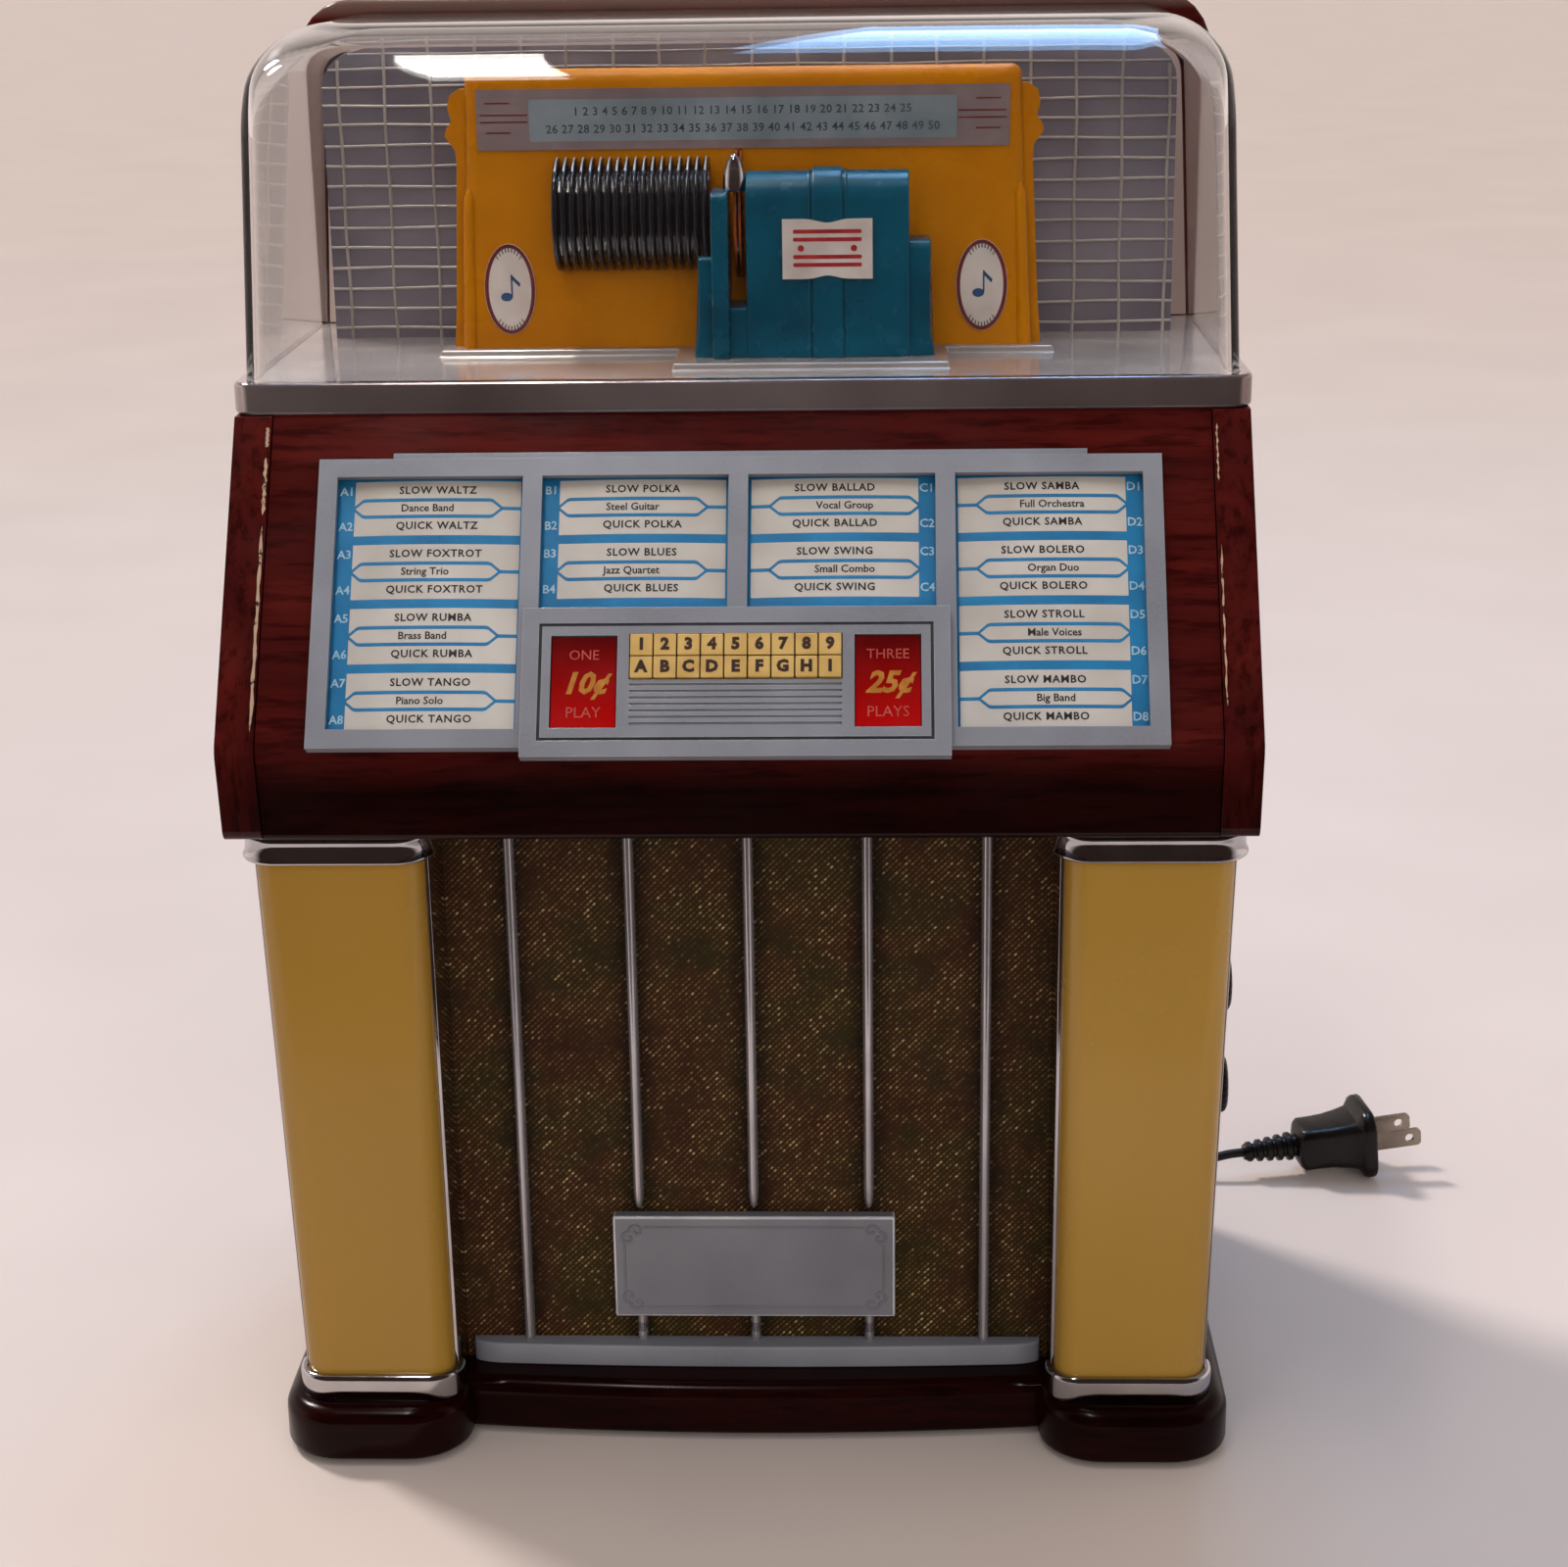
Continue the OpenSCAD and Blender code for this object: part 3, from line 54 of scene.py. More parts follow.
# How far print stands proud of what is under it
PRINT = 0.04 * MM

# The photograph's camera
PHOTO_W = 1600
FOCAL_PX = 2856.27
CAMERA_AT = Vector((37.58, -803.27, 445.38)) * MM
CAMERA_PITCH = math.radians(17.742)
CAMERA_YAW = math.radians(-2.011)
CAMERA_ROLL = math.radians(0.826)


# Measures taken from the frame
def low(node):
    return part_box(node)[0]


def high(node):
    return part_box(node)[1]


def corners_of(node):
    return [v.co for v in CAD[node].data.vertices]


def right_box(node, z):
    """Box of a node's right-hand points close to a height."""
    points = [p for p in corners_of(node) if abs(p.z - z) <= 1 * MM and p.x > 0]
    return [Vector([pick(p[axis] for p in points) for axis in range(3)]) for pick in (min, max)]


# The sloped panel: x across, down along the slope from its top edge, out square to it
SLOPE_OUT = -next(Vector(joint["axis"]) for joint in frame["joints"] if joint["name"] == "key_5_press")
SLOPE_DOWN = Vector((0, -SLOPE_OUT.z, SLOPE_OUT.y))
CONSOLE_TOP = high("console_shell").z
CONSOLE_FRONT = min(p.y for p in corners_of("console_shell") if p.z > CONSOLE_TOP - 0.1 * MM)
SLOPE_TOP = Vector((0, CONSOLE_FRONT, CONSOLE_TOP))
SLOPE_TURN = Matrix((Vector((1, 0, 0)), -SLOPE_DOWN, SLOPE_OUT)).transposed().to_4x4()


def on_slope(x, down, out):
    return SLOPE_TOP + Vector((x, 0, 0)) + down * SLOPE_DOWN + out * SLOPE_OUT


def slope_place(x, down, out):
    return Matrix.Translation(on_slope(x, down, out)) @ SLOPE_TURN


def slope_marks(node):
    """(x, down, out) of each point of a node on the sloped panel."""
    offsets = [p - SLOPE_TOP for p in corners_of(node)]
    return [(p.x, p.dot(SLOPE_DOWN), p.dot(SLOPE_OUT)) for p in offsets]


def slope_box(node):
    """Lowest and highest (x, down, out) of a node on the sloped panel."""
    marks = slope_marks(node)
    return [[pick(m[i] for m in marks) for i in range(3)] for pick in (min, max)]


def front_place(x, y, z):
    """Placing of a flat piece that faces the front."""
    return Matrix.Translation((x, y, z)) @ Matrix.Rotation(math.pi / 2, 4, "X")


# Outlines
def evenly(start, end, steps):
    """Values from start to end in equal steps."""
    return [start + (end - start) * i / steps for i in range(steps + 1)]


def arc(x, y, radius, start, end, steps=8):
    angles = [math.radians(a) for a in evenly(start, end, steps)]
    return [(x + radius * math.cos(a), y + radius * math.sin(a)) for a in angles]


def circle(x, y, radius, steps):
    return arc(x, y, radius, 0, 360, steps)[:-1]


def ellipse(x, y, wide, tall, steps=40):
    return [(x + wide * across, y + tall * up) for across, up in circle(0, 0, 1, steps)]


def rounded(x0, y0, x1, y1, radii, steps=8):
    """Anticlockwise rectangle with the radii of its corners from the low left one on."""
    a, b, c, d = radii
    return (
        arc(x0 + a, y0 + a, a, 180, 270, steps) + arc(x1 - b, y0 + b, b, 270, 360, steps)
        + arc(x1 - c, y1 - c, c, 0, 90, steps) + arc(x0 + d, y1 - d, d, 90, 180, steps)
    )


def round_box(x0, y0, x1, y1, radius, steps=3):
    return rounded(x0, y0, x1, y1, (radius,) * 4, steps)


def box_outline(x0, y0, x1, y1):
    return [(x0, y0), (x1, y0), (x1, y1), (x0, y1)]


def doubled(half, shared=True):
    """Half an outline and its mirror image; its last point is shared where it lies on the middle."""
    return half + [(-x, y) for x, y in reversed(half[:-1] if shared else half)]


def inset(outline, distance):
    """Anticlockwise outline moved inwards by a distance."""
    shortest, sharpest = 1e-9, 0.3
    moved = []
    for i, point in enumerate(outline):
        here = Vector(point)
        before = here - Vector(outline[i - 1])
        after = Vector(outline[(i + 1) % len(outline)]) - here
        normals = [Vector((way.y, -way.x)).normalized() for way in (before, after) if way.length > shortest]
        scale = 1 + normals[0].dot(normals[-1])
        moved.append(here - distance * (normals[0] + normals[-1]) / max(scale, sharpest))
    return moved


def at_x(outline, x):
    """Points of a (y, z) outline at one x."""
    return [(x, y, z) for y, z in outline]


def at_y(outline, y):
    """Points of an (x, z) outline at one y."""
    return [(x, y, z) for x, z in outline]


def at_z(outline, z):
    """Points of an (x, y) outline at one z."""
    return [(x, y, z) for x, y in outline]


# Shapes: points and faces
def loft(rings, around=True, caps=True):
    """Skin over rings of equal length."""
    count = len(rings[0])
    points = [p for ring in rings for p in ring]
    faces = []
    for i in range(len(rings) - 1):
        for j in range(count if around else count - 1):
            k = (j + 1) % count
            faces.append((i * count + j, i * count + k, (i + 1) * count + k, (i + 1) * count + j))
    if caps:
        faces.append(tuple(reversed(range(count))))
        faces.append(tuple(range((len(rings) - 1) * count, len(rings) * count)))
    return points, faces


def open_skin(rows):
    """Skin over rows of equal length that don't close into rings."""
    return loft(rows, around=False, caps=False)


def join(shapes):
    """Several shapes as one."""
    points = []
    faces = []
    for more_points, more_faces in shapes:
        start = len(points)
        points += list(more_points)
        faces += [tuple(start + i for i in face) for face in more_faces]
    return points, faces


def placed(shape, matrix):
    return [matrix @ Vector(p) for p in shape[0]], shape[1]


def both_sides(shape):
    """A shape and its mirror image in the middle plane."""
    points, faces = shape
    other = [(-p[0], p[1], p[2]) for p in points], [tuple(reversed(face)) for face in faces]
    return join([shape, other])


def flat_front(outline, y, depth=0.0):
    """A flat outline of (x, z) points facing the front, with an optional thickness behind it."""
    if depth:
        return loft([at_y(outline, y + depth), at_y(outline, y)])
    return at_y(outline, y), [tuple(range(len(outline)))]


def turned(profile, steps):
    """Skin of (radius, height) points turned about Z."""
    return loft([at_z(circle(0, 0, radius, steps), height) for radius, height in profile])


def tube(path, radius, steps=6):
    """Round tube along a list of points."""
    slanted = Vector((0.3, 0.9, 0.2))
    rings = []
    for i, point in enumerate(path):
        way = (path[min(i + 1, len(path) - 1)] - path[max(i - 1, 0)]).normalized()
        side = way.cross(slanted).normalized()
        top = side.cross(way)
        rings.append([point + across * side + up * top for across, up in circle(0, 0, radius, steps)])
    return loft(rings)


def word_shape(words, size, slant=0.0, weight=0.0, spread=1.0):
    """Flat letters centred on the origin."""
    text = bpy.data.curves.new("words", "FONT")
    text.body = words
    text.size = size
    text.shear = slant
    text.offset = weight
    text.space_character = spread
    text.align_x = "CENTER"
    text.align_y = "CENTER"
    text.resolution_u = 2
    holder = bpy.data.objects.new("words", text)
    mesh = holder.to_mesh()
    shape = [v.co.copy() for v in mesh.vertices], [tuple(face.vertices) for face in mesh.polygons]
    holder.to_mesh_clear()
    bpy.data.objects.remove(holder)
    bpy.data.curves.remove(text)
    return shape


# Pieces
def link(made):
    bpy.context.scene.collection.objects.link(made)
    return made


def piece(name, shape, finish, body=CABINET, sharp=38):
    """A mesh of its own, smooth but for edges sharper than an angle, riding on a body."""
    points, faces = shape
    mesh = bpy.data.meshes.new(name)
    mesh.from_pydata([tuple(p) for p in points], [], faces)
    skin = bmesh.new()
    skin.from_mesh(mesh)
    bmesh.ops.remove_doubles(skin, verts=skin.verts, dist=0.001 * MM)
    bmesh.ops.recalc_face_normals(skin, faces=skin.faces)
    skin.to_mesh(mesh)
    skin.free()
    mesh.shade_smooth()
    mesh.set_sharp_from_angle(angle=math.radians(sharp))
    mesh.materials.append(finish)
    made = link(bpy.data.objects.new(name, mesh))
    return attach(made, body)


def printed(name, shapes, finish):
    return piece(name, join(shapes), finish)


def soften(made, width, segments=3, angle=35):
    """Rounds a piece's hard edges."""
    bevel = made.modifiers.new("soften", "BEVEL")
    bevel.width = width
    bevel.segments = segments
    bevel.limit_method = "ANGLE"
    bevel.angle_limit = math.radians(angle)
    bevel.use_clamp_overlap = True
    made.modifiers.new("even", "WEIGHTED_NORMAL")


def dress(node, finish, edge=0.0, segments=3, edge_highlight=None):
    """Gives a node of the frame its finish, and rounds its edges where an edge width is given; a second
    finish given for the rounded edges paints a highlight on them.
    """
    made = CAD[node]
    made.data.materials.clear()
    made.data.materials.append(finish)
    if edge:
        if "custom_normal" in made.data.attributes:
            made.data.attributes.remove(made.data.attributes["custom_normal"])
        made.data.shade_smooth()
        weld = made.modifiers.new("weld", "WELD")
        weld.merge_threshold = 0.002 * MM
        planar = made.modifiers.new("planar", "DECIMATE")
        planar.decimate_type = "DISSOLVE"
        planar.angle_limit = math.radians(0.4)
        soften(made, edge, segments)
    if edge_highlight:
        made.data.materials.append(edge_highlight)
        made.modifiers["soften"].material = 1


# Finishes
def rgb(red, green, blue):
    """Screen colour of 0 to 255 as the renderer's linear colour."""
    shares = [part / 255 for part in (red, green, blue)]
    return tuple(c / 12.92 if c <= 0.04045 else ((c + 0.055) / 1.055) ** 2.4 for c in shares) + (1.0,)


class Nodes:
    """Short ways to make and join the nodes of a material or the world."""

    def __init__(self, owner, place):
        owner.use_nodes = True
        self.tree = owner.node_tree
        self.place = self.node("ShaderNodeTexCoord").outputs[place]

    def node(self, kind, inputs=None, **settings):
        made = self.tree.nodes.new(kind)
        for name, value in settings.items():
            setattr(made, name, value)
        for name, value in (inputs or {}).items():
            self.put(made.inputs[name], value)
        return made

    def put(self, socket, value):
        if isinstance(value, bpy.types.NodeSocket):
            self.tree.links.new(value, socket)
        else:
            socket.default_value = value

    def surface(self, output, shader):
        self.put(self.tree.nodes[output].inputs["Surface"], shader)

    def mapped(self, scale=(1, 1, 1), turn=(0, 0, 0)):
        inputs = {"Vector": self.place, "Scale": scale, "Rotation": turn}
        return self.node("ShaderNodeMapping", inputs).outputs["Vector"]

    def noise(self, scale, detail=3.0, rough=0.5, place=None, warp=0.0):
        inputs = {"Scale": scale, "Detail": detail, "Roughness": rough, "Distortion": warp}
        inputs["Vector"] = place or self.place
        return self.node("ShaderNodeTexNoise", inputs).outputs["Fac"]

    def ramp(self, value, *stops):
        made = self.node("ShaderNodeValToRGB", {"Fac": value})
        steps = made.color_ramp.elements
        for i, (position, colour) in enumerate(stops):
            step = steps[i] if i < 2 else steps.new(position)
            step.position = position
            step.color = colour
        return made.outputs["Color"]

    def span(self, value, start, end, low_in=0.3, high_in=0.7):
        """A value between two marks carried over to a range of its own."""
        inputs = {"Value": value, "From Min": low_in, "From Max": high_in, "To Min": start, "To Max": end}
        return self.node("ShaderNodeMapRange", inputs).outputs["Result"]

    def mix(self, share, first, second, blend="MIX"):
        inputs = {0: share, 6: first, 7: second}
        return self.node("ShaderNodeMix", inputs, data_type="RGBA", blend_type=blend).outputs[2]

    def times(self, first, second):
        return self.mix(1.0, first, second, "MULTIPLY")

    def math(self, operation, first, second):
        return self.node("ShaderNodeMath", {0: first, 1: second}, operation=operation).outputs[0]

    def axis(self, name, place=None):
        return self.node("ShaderNodeSeparateXYZ", {0: place or self.place}).outputs[name]

    def either(self, share, first, second):
        """One shader or the other by a share."""
        return self.node("ShaderNodeMixShader", {0: share, 1: first, 2: second}).outputs[0]


class Finish(Nodes):
    """A material with its colour, roughness and relief worked out over the surface."""

    def __init__(self, name):
        self.material = bpy.data.materials.new(name)
        super().__init__(self.material, "Object")
        self.shader = self.tree.nodes["Principled BSDF"]

    def set(self, **values):
        for name, value in values.items():
            self.put(self.shader.inputs[name.replace("_", " ")], value)

    def relief(self, height, depth, strength=1.0):
        bump = self.node("ShaderNodeBump", {"Height": height, "Distance": depth, "Strength": strength})
        self.set(Normal=bump.outputs["Normal"])


def moulded(name, dark, light, scale, rough, depth=0.01 * MM, grain=900, stretch=(1, 1, 1), **shader):
    """Plain surface with soft colour and gloss variation and a fine grain."""
    made = Finish(name)
    cloud = made.noise(scale, place=made.mapped(stretch))
    made.set(
        Base_Color=made.ramp(cloud, (0.32, rgb(*dark)), (0.68, rgb(*light))),
        Roughness=made.span(made.noise(scale * 3, detail=4), *rough),
        **shader,
    )
    made.relief(made.noise(grain, detail=2), depth)
    return made.material


def ink(name, dark, light, scale=260, rough=(0.4, 0.5), **shader):
    return moulded(name, dark, light, scale, rough, **shader)


def mahogany(name, stretch, shade=1.0, painted_shade=None, gloss=0.22, painted_reflection=None):
    """Lacquered wood grain, with painted shade low in one range of heights and a painted reflection high in
    another.
    """
    def tone(*colour):
        return tuple(shade * part for part in rgb(*colour)[:3]) + (1,)

    made = Finish(name)
    grain = made.noise(1.0, detail=6, rough=0.62, place=made.mapped(stretch), warp=0.6)
    fine = made.noise(1.0, detail=3, rough=0.7, place=made.mapped(tuple(6 * s for s in stretch)))
    wood = made.ramp(grain, (0.3, tone(50, 9, 7)), (0.72, tone(86, 21, 16)), (0.5, tone(68, 14, 11)))
    pores = made.ramp(fine, (0.36, rgb(186, 160, 156)), (0.52, rgb(255, 255, 255)))
    colour = made.times(wood, pores)
    # Painted shade: darker towards the bottom of a range of heights.
    if painted_shade:
        dark, z_low, z_high = painted_shade
        colour = made.times(colour, made.span(made.axis("Z"), dark, 1.0, z_low, z_high))
    # Painted reflection: paler greyish brown towards the top of a range of heights.
    if painted_reflection:
        colour = made.mix(made.span(made.axis("Z"), 0.0, 0.8, *painted_reflection), colour, rgb(126, 102, 92))
    made.set(
        Base_Color=colour,
        Roughness=made.span(made.noise(40, detail=5), 0.16, 0.26),
        Specular_IOR_Level=gloss,
        Coat_Weight=0.06,
        Coat_Roughness=0.08,
    )
    made.relief(fine, 0.008 * MM, 0.3)
    return made.material


def chrome(name, dark, light, rough):
    made = Finish(name)
    made.set(
        Base_Color=made.ramp(made.noise(40, detail=3), (0.35, rgb(*dark)), (0.6, rgb(*light))),
        Metallic=1.0,
        Roughness=made.span(made.noise(160, detail=4, rough=0.6), *rough),
    )
    made.relief(made.noise(45, detail=1), 0.03 * MM, 0.2)
    return made.material


def satin(name, dark, light):
    """Painted silver with a fine metallic fleck."""
    made = Finish(name)
    fleck = made.noise(2600, detail=1)
    cloud = made.ramp(made.noise(30, detail=3), (0.3, rgb(*dark)), (0.7, rgb(*light)))
    made.set(
        Base_Color=made.mix(made.span(fleck, 0.0, 0.6), cloud, rgb(*light)),
        Metallic=0.3,
        Roughness=made.span(made.noise(90, detail=4), 0.3, 0.4),
    )
    made.relief(fleck, 0.01 * MM, 0.5)
    return made.material


def clear(name, tint, rough):
    """Clear plastic that lets lamp light through to what stands behind it."""
    made = Finish(name)
    made.set(
        Base_Color=tint,
        Transmission_Weight=1.0,
        IOR=1.46,
        Roughness=made.span(made.noise(14, detail=4), rough, rough * 2.5),
    )
    made.relief(made.noise(9, detail=1), 0.12 * MM, 0.25)
    shadow = made.node("ShaderNodeLightPath").outputs["Is Shadow Ray"]
    through = made.node("ShaderNodeBsdfTransparent", {"Color": tint}).outputs["BSDF"]
    made.surface("Material Output", made.either(shadow, made.shader.outputs["BSDF"], through))
    return made.material


def coin_glow():
    """Red plastic with painted shade: deeper red towards its top edge."""
    made = Finish("coin_red")
    cloud = made.noise(60, detail=3)
    rise = made.span(made.axis("Z"), 0.0, 1.0, low("coin_lenses").z, high("coin_lenses").z)
    red = made.ramp(rise, (0.1, rgb(168, 0, 0)), (0.95, rgb(78, 0, 1)))
    made.set(
        Base_Color=made.mix(made.span(cloud, 0.0, 0.2), red, rgb(150, 8, 8)),
        Roughness=made.span(cloud, 0.16, 0.26),
        Specular_IOR_Level=0.25,
    )
    made.relief(made.noise(700), 0.01 * MM)
    return made.material


def grille_weave(bar_pitch):
    """Brown cloth of slanting flecks in rows, greener or redder in patches, with painted shade along the
    bars.
    """
    made = Finish("grille_weave")
    thread = 1.32 * MM
    slanted = made.mapped(scale=(1 / thread,) * 3, turn=(0, math.radians(45), 0))
    along, over = made.axis("X", slanted), made.axis("Z", slanted)
    crest = made.span(made.math("PINGPONG", over, 0.5), 0.0, 1.0, 0.2, 0.4)
    ends = made.span(made.math("PINGPONG", along, 0.5), 0.0, 1.0, 0.05, 0.22)
    fleck = made.math("MULTIPLY", crest, ends)
    counted = {"X": made.math("FLOOR", along, 0.0), "Y": made.math("FLOOR", over, 0.0)}
    cell = made.node("ShaderNodeCombineXYZ", counted).outputs["Vector"]
    chance = made.node("ShaderNodeTexWhiteNoise", {"Vector": cell}, noise_dimensions="2D").outputs["Value"]
    ground = made.ramp(
        made.noise(38, detail=4, rough=0.55), (0.34, rgb(50, 24, 12)), (0.68, rgb(46, 38, 13)),
        (0.46, rgb(52, 31, 14)), (0.57, rgb(42, 34, 13)),
    )
    gold = made.ramp(
        chance, (0.0, rgb(74, 49, 24)), (1.0, rgb(182, 152, 104)),
        (0.55, rgb(96, 68, 34)), (0.9, rgb(124, 93, 52)),
    )
    worn = made.span(made.noise(70, detail=3), 0.15, 1.0, 0.36, 0.56)
    shown = made.mix(made.math("MULTIPLY", fleck, worn), ground, gold)
    # Painted shade: darker within a few millimetres of each bar.
    from_bar = made.math("PINGPONG", made.axis("X"), bar_pitch / 2)
    made.set(
        Base_Color=made.times(shown, made.span(from_bar, 0.4, 1.0, 1.5 * MM, 7 * MM)),
        Roughness=made.span(chance, 0.7, 0.45),
        Specular_IOR_Level=0.2,
    )
    made.relief(fleck, 0.2 * MM, 0.7)
    return made.material


def worn_edge():
    """Pale scuffs on dark wood."""
    made = Finish("worn_edge")
    scuff = made.noise(300, detail=3, rough=0.7)
    mask = made.ramp(scuff, (0.38, rgb(0, 0, 0)), (0.44, rgb(255, 255, 255)))
    made.set(
        Base_Color=made.mix(mask, rgb(40, 12, 10), rgb(172, 142, 116)),
        Roughness=made.span(scuff, 0.5, 0.8),
    )
    made.relief(scuff, 0.05 * MM)
    return made.material


def pale_lining(x_left, x_right):
    """Pale sheet with painted light: lighter on the left, a little darker towards the right."""
    made = Finish("pale_lining")
    cloud = made.noise(12, detail=3)
    side = made.span(made.axis("X"), 0.0, 1.0, x_left, x_right)
    made.set(
        Base_Color=made.times(
            made.ramp(side, (0.1, rgb(230, 208, 196)), (0.9, rgb(176, 152, 144))),
            made.ramp(cloud, (0.3, rgb(236, 234, 232)), (0.7, rgb(255, 255, 255))),
        ),
        Roughness=made.span(cloud, 0.35, 0.5),
    )
    made.relief(made.noise(300), 0.01 * MM)
    return made.material


def pale_table():
    made = Finish("pale_table")
    cloud = made.noise(6, detail=3)
    made.set(
        Base_Color=made.ramp(cloud, (0.3, rgb(208, 192, 185)), (0.7, rgb(213, 197, 190))),
        Roughness=made.span(cloud, 0.5, 0.6),
        Specular_IOR_Level=0.2,
    )
    return made.material


GRAIN_UP = (60, 60, 7)
GRAIN_ACROSS = (7, 60, 60)
NOSE_TOP = low("title_frame").z
SHELL_TOP = high("rear_shell").z
# Painted shade: the fascia and cheeks darken towards the nose's lower edge.
NOSE_SHADE = (0.16, NOSE_TOP - 12 * MM, NOSE_TOP + 2 * MM)
CHEEK_SHADE = (0.5, NOSE_TOP - 14 * MM, NOSE_TOP)
# Painted reflection: the rear shell turns paler near its top edge.
SHELL_REFLECTION = (SHELL_TOP - 6 * MM, SHELL_TOP - 1 * MM)
MAHOGANY_SIDE = mahogany("mahogany_upright", GRAIN_UP)
MAHOGANY_REAR = mahogany("mahogany_rear", GRAIN_ACROSS, painted_reflection=SHELL_REFLECTION)
# Painted shade: the base's mahogany is the same wood darkened to 0.15.
MAHOGANY_BASE = mahogany("mahogany_base", GRAIN_ACROSS, 0.15, gloss=0.12)
MAHOGANY_FASCIA = mahogany("mahogany_fascia", GRAIN_ACROSS, 1.0, NOSE_SHADE)
MAHOGANY_CHEEK = mahogany("mahogany_cheek", GRAIN_UP, 0.9, CHEEK_SHADE)
WORN = worn_edge()

CHROME = chrome("chrome_plate", (196, 196, 200), (222, 222, 226), (0.05, 0.14))
NICKEL = chrome("nickel_blades", (128, 118, 106), (172, 160, 146), (0.2, 0.34))
STEEL = chrome("zinc_steel", (120, 122, 124), (166, 168, 170), (0.3, 0.45))
BAND_CHROME = moulded(
    "band_plating", (140, 124, 122), (190, 178, 178), 16, (0.08, 0.2), 0.03 * MM, grain=45, Metallic=0.84,
)
BAR_CHROME = moulded("bar_plating", (190, 187, 190), (216, 213, 216), 40, (0.08, 0.18), Metallic=0.8)
DECK_SILVER = moulded(
    "deck_silver", (176, 166, 160), (204, 196, 190), 30, (0.08, 0.2), 0.03 * MM, grain=120, Metallic=0.55,
)
# Painted highlight: paler, less metallic silver for bright edges and record glints.
HIGHLIGHT_SILVER = moulded(
    "painted_highlight_silver", (200, 200, 205), (232, 232, 236), 60, (0.16, 0.28), 0.005 * MM, Metallic=0.45,
)
SATIN = satin("satin_paint", (124, 125, 132), (146, 147, 155))
PLATE_SATIN = satin("plate_paint", (110, 110, 116), (130, 130, 137))
GRID_SILVER = satin("grid_silver", (124, 116, 112), (170, 160, 152))
BACKDROP = moulded("backdrop_violet", (82, 76, 84), (112, 104, 110), 24, (0.3, 0.45), 0.08 * MM, grain=160)
# Painted shade: dark finish for the bezel's groove.
PAINTED_GROOVE_SHADE = moulded("groove_shade", (40, 40, 44), (56, 56, 61), 140, (0.5, 0.6))

CLEAR = clear("dome_plastic", rgb(252, 251, 251), 0.01)
GLAZING = clear("glazing_film", rgb(250, 250, 250), 0.03)
AMBER = moulded(
    "amber_plastic", (162, 95, 0), (182, 113, 0), 18, (0.24, 0.36),
    Subsurface_Weight=0.12, Subsurface_Radius=(0.004, 0.002, 0.0005), Specular_IOR_Level=0.15,
)
TEAL = moulded(
    "teal_pearl", (0, 58, 76), (0, 78, 98), 40, (0.2, 0.3),
    Specular_IOR_Level=0.35, Coat_Weight=0.3, Coat_Roughness=0.1,
)
CREAM = moulded(
    "cream_column", (152, 114, 38), (164, 126, 50), 7, (0.2, 0.3), 0.006 * MM, stretch=(1, 1, 0.25),
    Subsurface_Weight=0.2, Subsurface_Radius=(0.006, 0.004, 0.001), Coat_Weight=0.1,
)
KEY_CREAM = moulded("key_cream", (182, 144, 74), (200, 164, 94), 120, (0.32, 0.45))
COIN_RED = coin_glow()
RECORD = moulded(
    "record_black", (14, 14, 18), (24, 25, 30), 50, (0.08, 0.16), grain=2200, Coat_Weight=0.6,
)
RECORD_BROWN = moulded("record_brown", (104, 46, 18), (170, 76, 26), 90, (0.2, 0.3))
BLACK = moulded(
    "black_plastic", (13, 10, 9), (26, 21, 19), 90, (0.24, 0.36), 0.02 * MM, Specular_IOR_Level=0.3,
)
CORD_BLACK = moulded(
    "cord_sheath", (15, 12, 11), (30, 24, 22), 140, (0.4, 0.55), 0.02 * MM, Specular_IOR_Level=0.3,
)
RUBBER = moulded("pad_rubber", (22, 22, 23), (40, 40, 42), 160, (0.6, 0.8), 0.05 * MM)
BOARD = moulded("hardboard", (44, 28, 20), (66, 44, 32), 180, (0.6, 0.8), 0.08 * MM, grain=1500)
CHIPBOARD = moulded("chipboard", (96, 74, 50), (140, 112, 80), 240, (0.7, 0.9), 0.1 * MM)
CIRCUIT = moulded("circuit_green", (14, 70, 40), (28, 96, 58), 120, (0.3, 0.5), 0.03 * MM)
LAMP = moulded("lamp_glass", (236, 226, 196), (250, 244, 224), 90, (0.1, 0.2))

CARD_BLUE = ink("card_blue", (0, 110, 160), (4, 128, 180), 70, (0.45, 0.6))
CARD_WHITE = ink("card_white", (194, 183, 172), (214, 204, 194), 45, (0.5, 0.65))
CARD_INK = ink("card_ink", (14, 12, 12), (30, 26, 26), 300, (0.5, 0.6))
CODE_PALE = ink("code_pale", (150, 190, 208), (186, 208, 220), 200, (0.5, 0.6))
KEY_INK = ink("key_ink", (46, 22, 16), (62, 31, 22), 300, (0.5, 0.6))
GOLD_INK = ink("gold_ink", (170, 104, 30), (196, 132, 54), rough=(0.3, 0.4), Metallic=0.3)
PINK_INK = ink("pink_ink", (158, 52, 44), (178, 74, 62))
RED_INK = ink("red_ink", (140, 14, 22), (168, 26, 32))
RIM_INK = ink("rim_ink", (84, 26, 28), (106, 38, 38))
BLUE_INK = ink("blue_ink", (24, 56, 92), (40, 80, 120))
PAPER = ink("label_paper", (176, 162, 152), (196, 184, 174), 90, (0.4, 0.55))
STRIP_GREY = ink("strip_grey", (104, 88, 88), (124, 106, 104), 60, (0.4, 0.55))
STRIP_PALE = ink("strip_pale", (98, 108, 112), (122, 130, 134), 60, (0.4, 0.55))
STRIP_INK = ink("strip_ink", (44, 50, 60), (62, 70, 80), 200, (0.5, 0.6))


